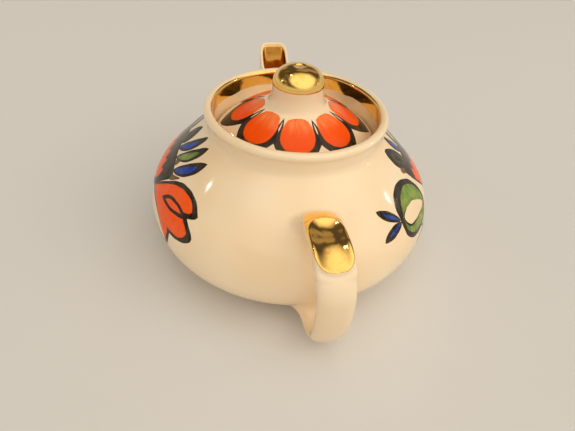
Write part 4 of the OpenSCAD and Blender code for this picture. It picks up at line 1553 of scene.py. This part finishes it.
def fruit():
    """The round fruit: its ink round a bare heart, its green, and the thin ink of its shade."""
    ink = outline(
        [(152, 24.4), (151, 28.2), (148.8, 31.6), (145, 33.8), (140, 34.2), (134.3, 32.2),
         (130, 28.6), (127.2, 23.6), (126.2, 18.4), (126.8, 13), (129.4, 9.4), (133.6, 7.2),
         (139, 6), (144.6, 6.4), (148.8, 8.6), (151.3, 12), (152.2, 16), (152.2, 19.4)]
    )
    bare = ring(
        [(129.6, 14.6), (134.7, 19.8), (139, 22.2), (143.3, 22.5), (147.2, 21.4), (149.2, 19.6),
         (148.6, 16.8), (146.2, 14.4), (142.3, 13.8), (136.7, 13.6), (132, 13.4)],
    )
    green = outline(
        [(149.4, 21.4), (148.1, 24.2), (146, 27.2), (143, 29.4), (139.5, 30.4), (135.6, 29.6),
         (131.8, 27), (129.2, 23.2), (128, 19), (128.4, 14.2), (130.4, 11), (134, 9.2),
         (139, 8.4), (144.6, 8.8), (148, 11.2), (150.2, 14.6), (150.6, 18.6)]
    )
    hole = ring(
        [(129.8, 14.7), (134.7, 19.6), (139, 22), (143.3, 22.3), (147.4, 21.9), (150, 19.6),
         (149.4, 16.2), (146.5, 13.4), (142.3, 13.2), (136.7, 13.4), (132, 13.4)],
    )
    shade = ring(
        [(141.2, 32.6), (145, 32.4), (148, 30.2), (150, 27), (150.8, 23.4), (150.4, 21.6),
         (149.2, 24.6), (147, 28.2), (144, 30.6)],
    )
    return [ink, bare], [green, hole], [shade]


STEMS = (
    ([(103.8, 4.4), (105.0, -3.6), (104.4, -13.4)], 2.3),
    ([(138.6, 7.6), (131, 1.8), (121, -2.4), (105.0, -6.4)], 1.9),
    ([(64.2, -3.2), (74, -2.2), (88, -3.2), (104.6, -7.4)], 1.9),
)
OCHRE_MARKS = (
    [(79.4, 25.6), (72.0, 28.8), (77.4, 23.4)],
    [(86.0, 29.8), (81.8, 32.8), (82.6, 28.8)],
    [(126.0, 33.4), (129.4, 36.0), (131.2, 34.8), (130.4, 32.8), (127.6, 31.8)],
)
OCHRE_STEPS = 3


def bouquet(thick):
    """The bouquet's coats: name, shapes, height above the glaze and kind of enamel."""
    ink, fills = leaves()
    bloom_ink, bloom_orange, seed = bloom()
    palmette_ink, crown = palmette()
    fruit_ink, fruit_green, shade = fruit()
    stems = [[brush(points, width)] for points, width in STEMS]
    ochre = [[stroke(mark + mark[:1], OCHRE_STEPS)[:-1]] for mark in OCHRE_MARKS]
    return (
        ("belly_ink", [*ink, bloom_ink, palmette_ink, fruit_ink, *stems], OVER_BARE, "ink"),
        ("belly_orange", [bloom_orange, crown], thick * OVER_INK, "orange"),
        ("belly_cobalt", fills["cobalt"], thick * OVER_INK, "cobalt"),
        ("belly_green", [*fills["green"], fruit_green], thick * OVER_INK, "green"),
        ("belly_thin_ink", [*fills["thin"], shade], thick * OVER_INK, "thin ink"),
        ("belly_ochre", ochre, thick * OVER_EDGE, "ochre"),
        ("belly_ink_lines", [seed], thick * OVER_ALL, "ink"),
    )


def joined(halves, name):
    """Makes several mesh pieces one."""
    bm = bmesh.new()
    for half in halves:
        bm.from_mesh(half.data)
    bm.to_mesh(halves[0].data)
    bm.free()
    for half in halves[1:]:
        bpy.data.objects.remove(half)
    halves[0].name = name
    return halves[0]


class TEAPOT_OT_painting(bpy.types.Operator):
    """Paints the bouquet on both faces of the belly"""

    bl_idname = "teapot.painting"
    bl_label = "Paint the bouquets"

    def execute(self, context):
        s = context.scene.teapot_paint
        faces = [on_belly(face_turn) for face_turn in (s.turn_left, s.turn_right)]
        for name, shapes, base, kind in bouquet(s.thick):
            coat = enamel_finish(kind)
            halves = [enamel(name, shapes, face, base, coat, BELLY_WAVER) for face in faces]
            piece = joined(halves, name)
            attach(piece, "pot")
        return {"FINISHED"}


@once("node_groups", "Petal ring")
def ring_tree(name):
    """Repeats a painted petal round the lid, a little unevenly, as a hand would."""
    inputs = (
        ("Petal", "Geometry"),
        ("Count", "Int", 8),
        ("Start", "Float", 0.0),
        ("Drift", "Float", 0.0),
        ("Seed", "Int", 4),
        ("Material", "Material"),
    )
    tree, given, made = new_group("GeometryNodeTree", name, inputs, [("Petals", "Geometry")])
    add, sums = tree.add, tree.sums
    spread = {2: sums("MULTIPLY", given["Drift"], -1), 3: given["Drift"], "Seed": given["Seed"]}
    chance = add("FunctionNodeRandomValue", spread, data_type="FLOAT").outputs[1]
    step = sums("DIVIDE", 2 * math.pi, given["Count"])
    step = sums("MULTIPLY", add("GeometryNodeInputIndex").outputs[0], step)
    turned = sums("ADD", sums("ADD", step, given["Start"]), chance)
    angles = add("ShaderNodeCombineXYZ", {"Z": sums("MULTIPLY", turned, -1)}).outputs[0]
    values = {
        "Points": add("GeometryNodePoints", {"Count": given["Count"]}).outputs[0],
        "Instance": given["Petal"],
        "Rotation": add("FunctionNodeEulerToRotation", {0: angles}).outputs[0],
    }
    copies = add("GeometryNodeInstanceOnPoints", values).outputs[0]
    end_piece(tree, copies, given["Material"], made["Petals"])
    return tree.data


def petal():
    """One petal of the lid: its ink shell, the ink sliver beside it and its orange."""
    shell = outline(
        [(-18, 30.4), (-12, 33.1), (-5, 35.4), (2, 36.8)],
        [(7.5, 35.1), (13, 32.9), (18.2, 30.5), (23.2, 27.6)],
        [(22.9, 24), (17.5, 21), (0, 20), (-17.5, 21), (-22.9, 24), (-23.2, 27.6)],
    )
    sliver = outline(
        [(19.4, 19.4), (19, 23.4), (20.6, 25.8)],
        [(24.4, 25.8)],
        [(26, 23.4), (25.6, 19.4), (22.5, 15.9)],
    )
    bare = outline(
        [(21.7, 19.8), (21.7, 22), (22.5, 23.8)],
        [(23.3, 22), (23.3, 19.8), (22.5, 17.6)],
    )
    orange = outline(
        [(-9, 15.3), (0, 15.1), (8, 15.4), (15.5, 16.6)],
        [(18.6, 19.6), (19, 23), (17.6, 26), (14, 28.6), (8, 30.5), (0, 31.2), (-8, 30.5),
         (-14, 28.6), (-17.6, 26), (-19, 23), (-18.6, 19.6), (-15.5, 16.6)],
    )
    return [[shell], [sliver, bare]], [[orange]]


class TEAPOT_OT_petals(bpy.types.Operator):
    """Paints the ring of petals on the lid"""

    bl_idname = "teapot.petals"
    bl_label = "Paint the petals"

    def execute(self, context):
        s = context.scene.teapot_paint
        ink, orange = petal()
        for name, shapes, base, kind in (
            ("lid_ink", ink, OVER_BARE, "ink"),
            ("lid_orange", orange, s.thick * OVER_INK, "petal"),
        ):
            coat = enamel_finish(kind)
            one = enamel(name + "_one", shapes, on_lid(), base, coat, LID_WAVER)
            values = {"Count": s.petals, "Start": s.petal_start, "Drift": s.petal_drift}
            values["Material"] = coat
            piece = grown(name, one, ring_tree(), values, PAINT_SHARP)
            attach(piece, "lid")
        return {"FINISHED"}


# ---------------------------------------------------------------- the stage


FLOOR_HALF, FLOOR_ROUGH, SENSOR, CLIP_NEAR = 9.0, 0.8, 36, 0.01
FLOOR_CORNERS = (-1, -1), (1, -1), (1, 1), (-1, 1)
# The way to the light overhead, its mask in cosines from that way, and the ceiling's mask in
# heights above the horizon.
SKYLIGHT, SKYLIGHT_MASK, CEILING_MASK = (-0.45, -0.20, 0.870), (0.52, 0.82), (0.12, 0.42)
# The patches of lamplight on the ceiling: their scale and their mask.
PATCH, PATCH_MASK = 2.6, (0.44, 0.66)
GLINT = (1, 0.97, 0.92)
LAMPS = (
    # name, place, height that it looks at, size, watts, tint, whether gloss shows it
    ("key", (-0.45, -0.95, 0.9), 0.04, 0.8, 2.1, (1, 0.95, 0.88), False),
    ("fill", (-0.3, 1.1, 0.7), 0.04, 1.0, 0.8, (1, 0.97, 0.93), False),
    ("glint_left", (0.12, 0.87, 0.52), 0.05, 0.022, 0.14, GLINT, True),
    ("glint_right", (-0.05, -0.94, 0.36), 0.05, 0.022, 0.14, GLINT, True),
    ("glint_top", (0.25, 0.28, 0.97), 0.05, 0.022, 0.14, GLINT, True),
)


def facing(way):
    """The turn of a lamp or a camera that looks one way."""
    return way.to_track_quat("-Z", "Y")


def area_lamp(name, place, aim, size, power, tint, glossy):
    """A soft round lamp that looks at a point on the axis."""
    data = bpy.data.lights.new(name, "AREA")
    data.shape = "DISK"
    data.size, data.energy, data.color = size, power, tint
    lamp = new_object(name, data)
    lamp.location = place
    lamp.rotation_euler = facing(Vector((0, 0, aim)) - Vector(place)).to_euler()
    lamp.visible_glossy = glossy


def lay_floor(s):
    """The plain pale floor."""
    mesh = bpy.data.meshes.new("floor")
    corners = [(*(FLOOR_HALF * k for k in corner), 0) for corner in FLOOR_CORNERS]
    mesh.from_pydata(corners, [], [(0, 1, 2, 3)])
    mesh.materials.append(new_material("floor paint", s.floor, Roughness=FLOOR_ROUGH)[0])
    floor = new_object("floor", mesh)


def light_room(s):
    """The world: a pale horizon, a dim, unevenly lit ceiling and a soft light overhead."""
    world = bpy.data.worlds.new("studio")
    bpy.context.scene.world = world
    world.use_nodes = True
    look = Tree(world.node_tree)
    way = look.add("ShaderNodeTexCoord").outputs["Generated"]
    near = look.add("ShaderNodeVectorMath", {0: way, 1: SKYLIGHT}, operation="DOT_PRODUCT")
    patches = look.fade(look.noise(way, PATCH, 1.0), *PATCH_MASK)
    ceiling = look.mix(patches, s.ceiling, s.ceiling_lit)
    room = look.mix(look.fade(look.part(way, "Z"), *CEILING_MASK), s.backdrop, ceiling)
    bright = [s.skylight_power * channel for channel in s.skylight]
    overhead = look.fade(near.outputs["Value"], *SKYLIGHT_MASK)
    sky = look.nodes["Background"]
    sky.inputs["Strength"].default_value = 1.0
    look.link(look.mix(overhead, room, bright), sky.inputs["Color"])


def set_camera(s):
    """The camera, which looks at a point on the pot's axis."""
    camera = new_object("camera", bpy.data.cameras.new("camera"))
    bpy.context.scene.camera = camera
    camera.data.lens, camera.data.sensor_width = s.lens, SENSOR
    camera.data.clip_start = CLIP_NEAR
    target = Vector((0, 0, s.target_h))
    level = math.cos(s.camera_lift) * s.camera_reach
    rise = math.sin(s.camera_lift) * s.camera_reach
    away = Vector((-level * math.cos(s.camera_turn), -level * math.sin(s.camera_turn), rise))
    place, roll = target + away, Quaternion((0, 0, 1), s.camera_roll)
    camera.location = place
    camera.rotation_euler = (facing(target - place) @ roll).to_euler()


class TEAPOT_OT_stage(bpy.types.Operator):
    """Sets the floor, the soft lamps, the pale background and the camera"""

    bl_idname = "teapot.stage"
    bl_label = "Set the stage"

    def execute(self, context):
        s = context.scene.teapot_stage
        lay_floor(s)
        light_room(s)
        for lamp in LAMPS:
            area_lamp(*lamp)
        set_camera(s)
        context.scene.view_settings.view_transform = "Standard"
        return {"FINISHED"}


class TEAPOT_PT_panel(bpy.types.Panel):
    """Lists the teapot's sizes and its steps"""

    bl_idname = "TEAPOT_PT_panel"
    bl_label = "Painted Porcelain Teapot"
    bl_space_type = "VIEW_3D"
    bl_region_type = "UI"
    bl_category = "Teapot"

    def draw(self, context):
        for name in GROUPS:
            box = self.layout.box()
            box.label(text=name.replace("teapot_", "").title())
            for field in getattr(context.scene, name).__annotations__:
                box.prop(getattr(context.scene, name), field)
        for step in STEPS:
            self.layout.operator(step.bl_idname)


GROUPS = {
    "teapot_pot": PotSizes,
    "teapot_lid": LidSizes,
    "teapot_handle": HandleSizes,
    "teapot_spout": SpoutSizes,
    "teapot_finishes": Finishes,
    "teapot_paint": PaintSettings,
    "teapot_stage": StageSettings,
}
STEPS = (
    TEAPOT_OT_stage,
    TEAPOT_OT_pot,
    TEAPOT_OT_lid,
    TEAPOT_OT_knob,
    TEAPOT_OT_handle,
    TEAPOT_OT_spout,
    TEAPOT_OT_gilding,
    TEAPOT_OT_painting,
    TEAPOT_OT_petals,
)


def register():
    """Adds the settings, the steps and the panel."""
    for name, group in GROUPS.items():
        bpy.utils.register_class(group)
        setattr(bpy.types.Scene, name, PointerProperty(type=group))
    for made in (*STEPS, TEAPOT_PT_panel):
        bpy.utils.register_class(made)


def unregister():
    """Takes them away again, the last one first."""
    for made in (TEAPOT_PT_panel, *reversed(STEPS)):
        bpy.utils.unregister_class(made)
    for name, group in reversed(GROUPS.items()):
        delattr(bpy.types.Scene, name)
        bpy.utils.unregister_class(group)


def main():
    """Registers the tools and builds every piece."""
    register()
    for step in STEPS:
        kind, name = step.bl_idname.split(".")
        getattr(getattr(bpy.ops, kind), name)()


if __name__ == "__main__":
    main()
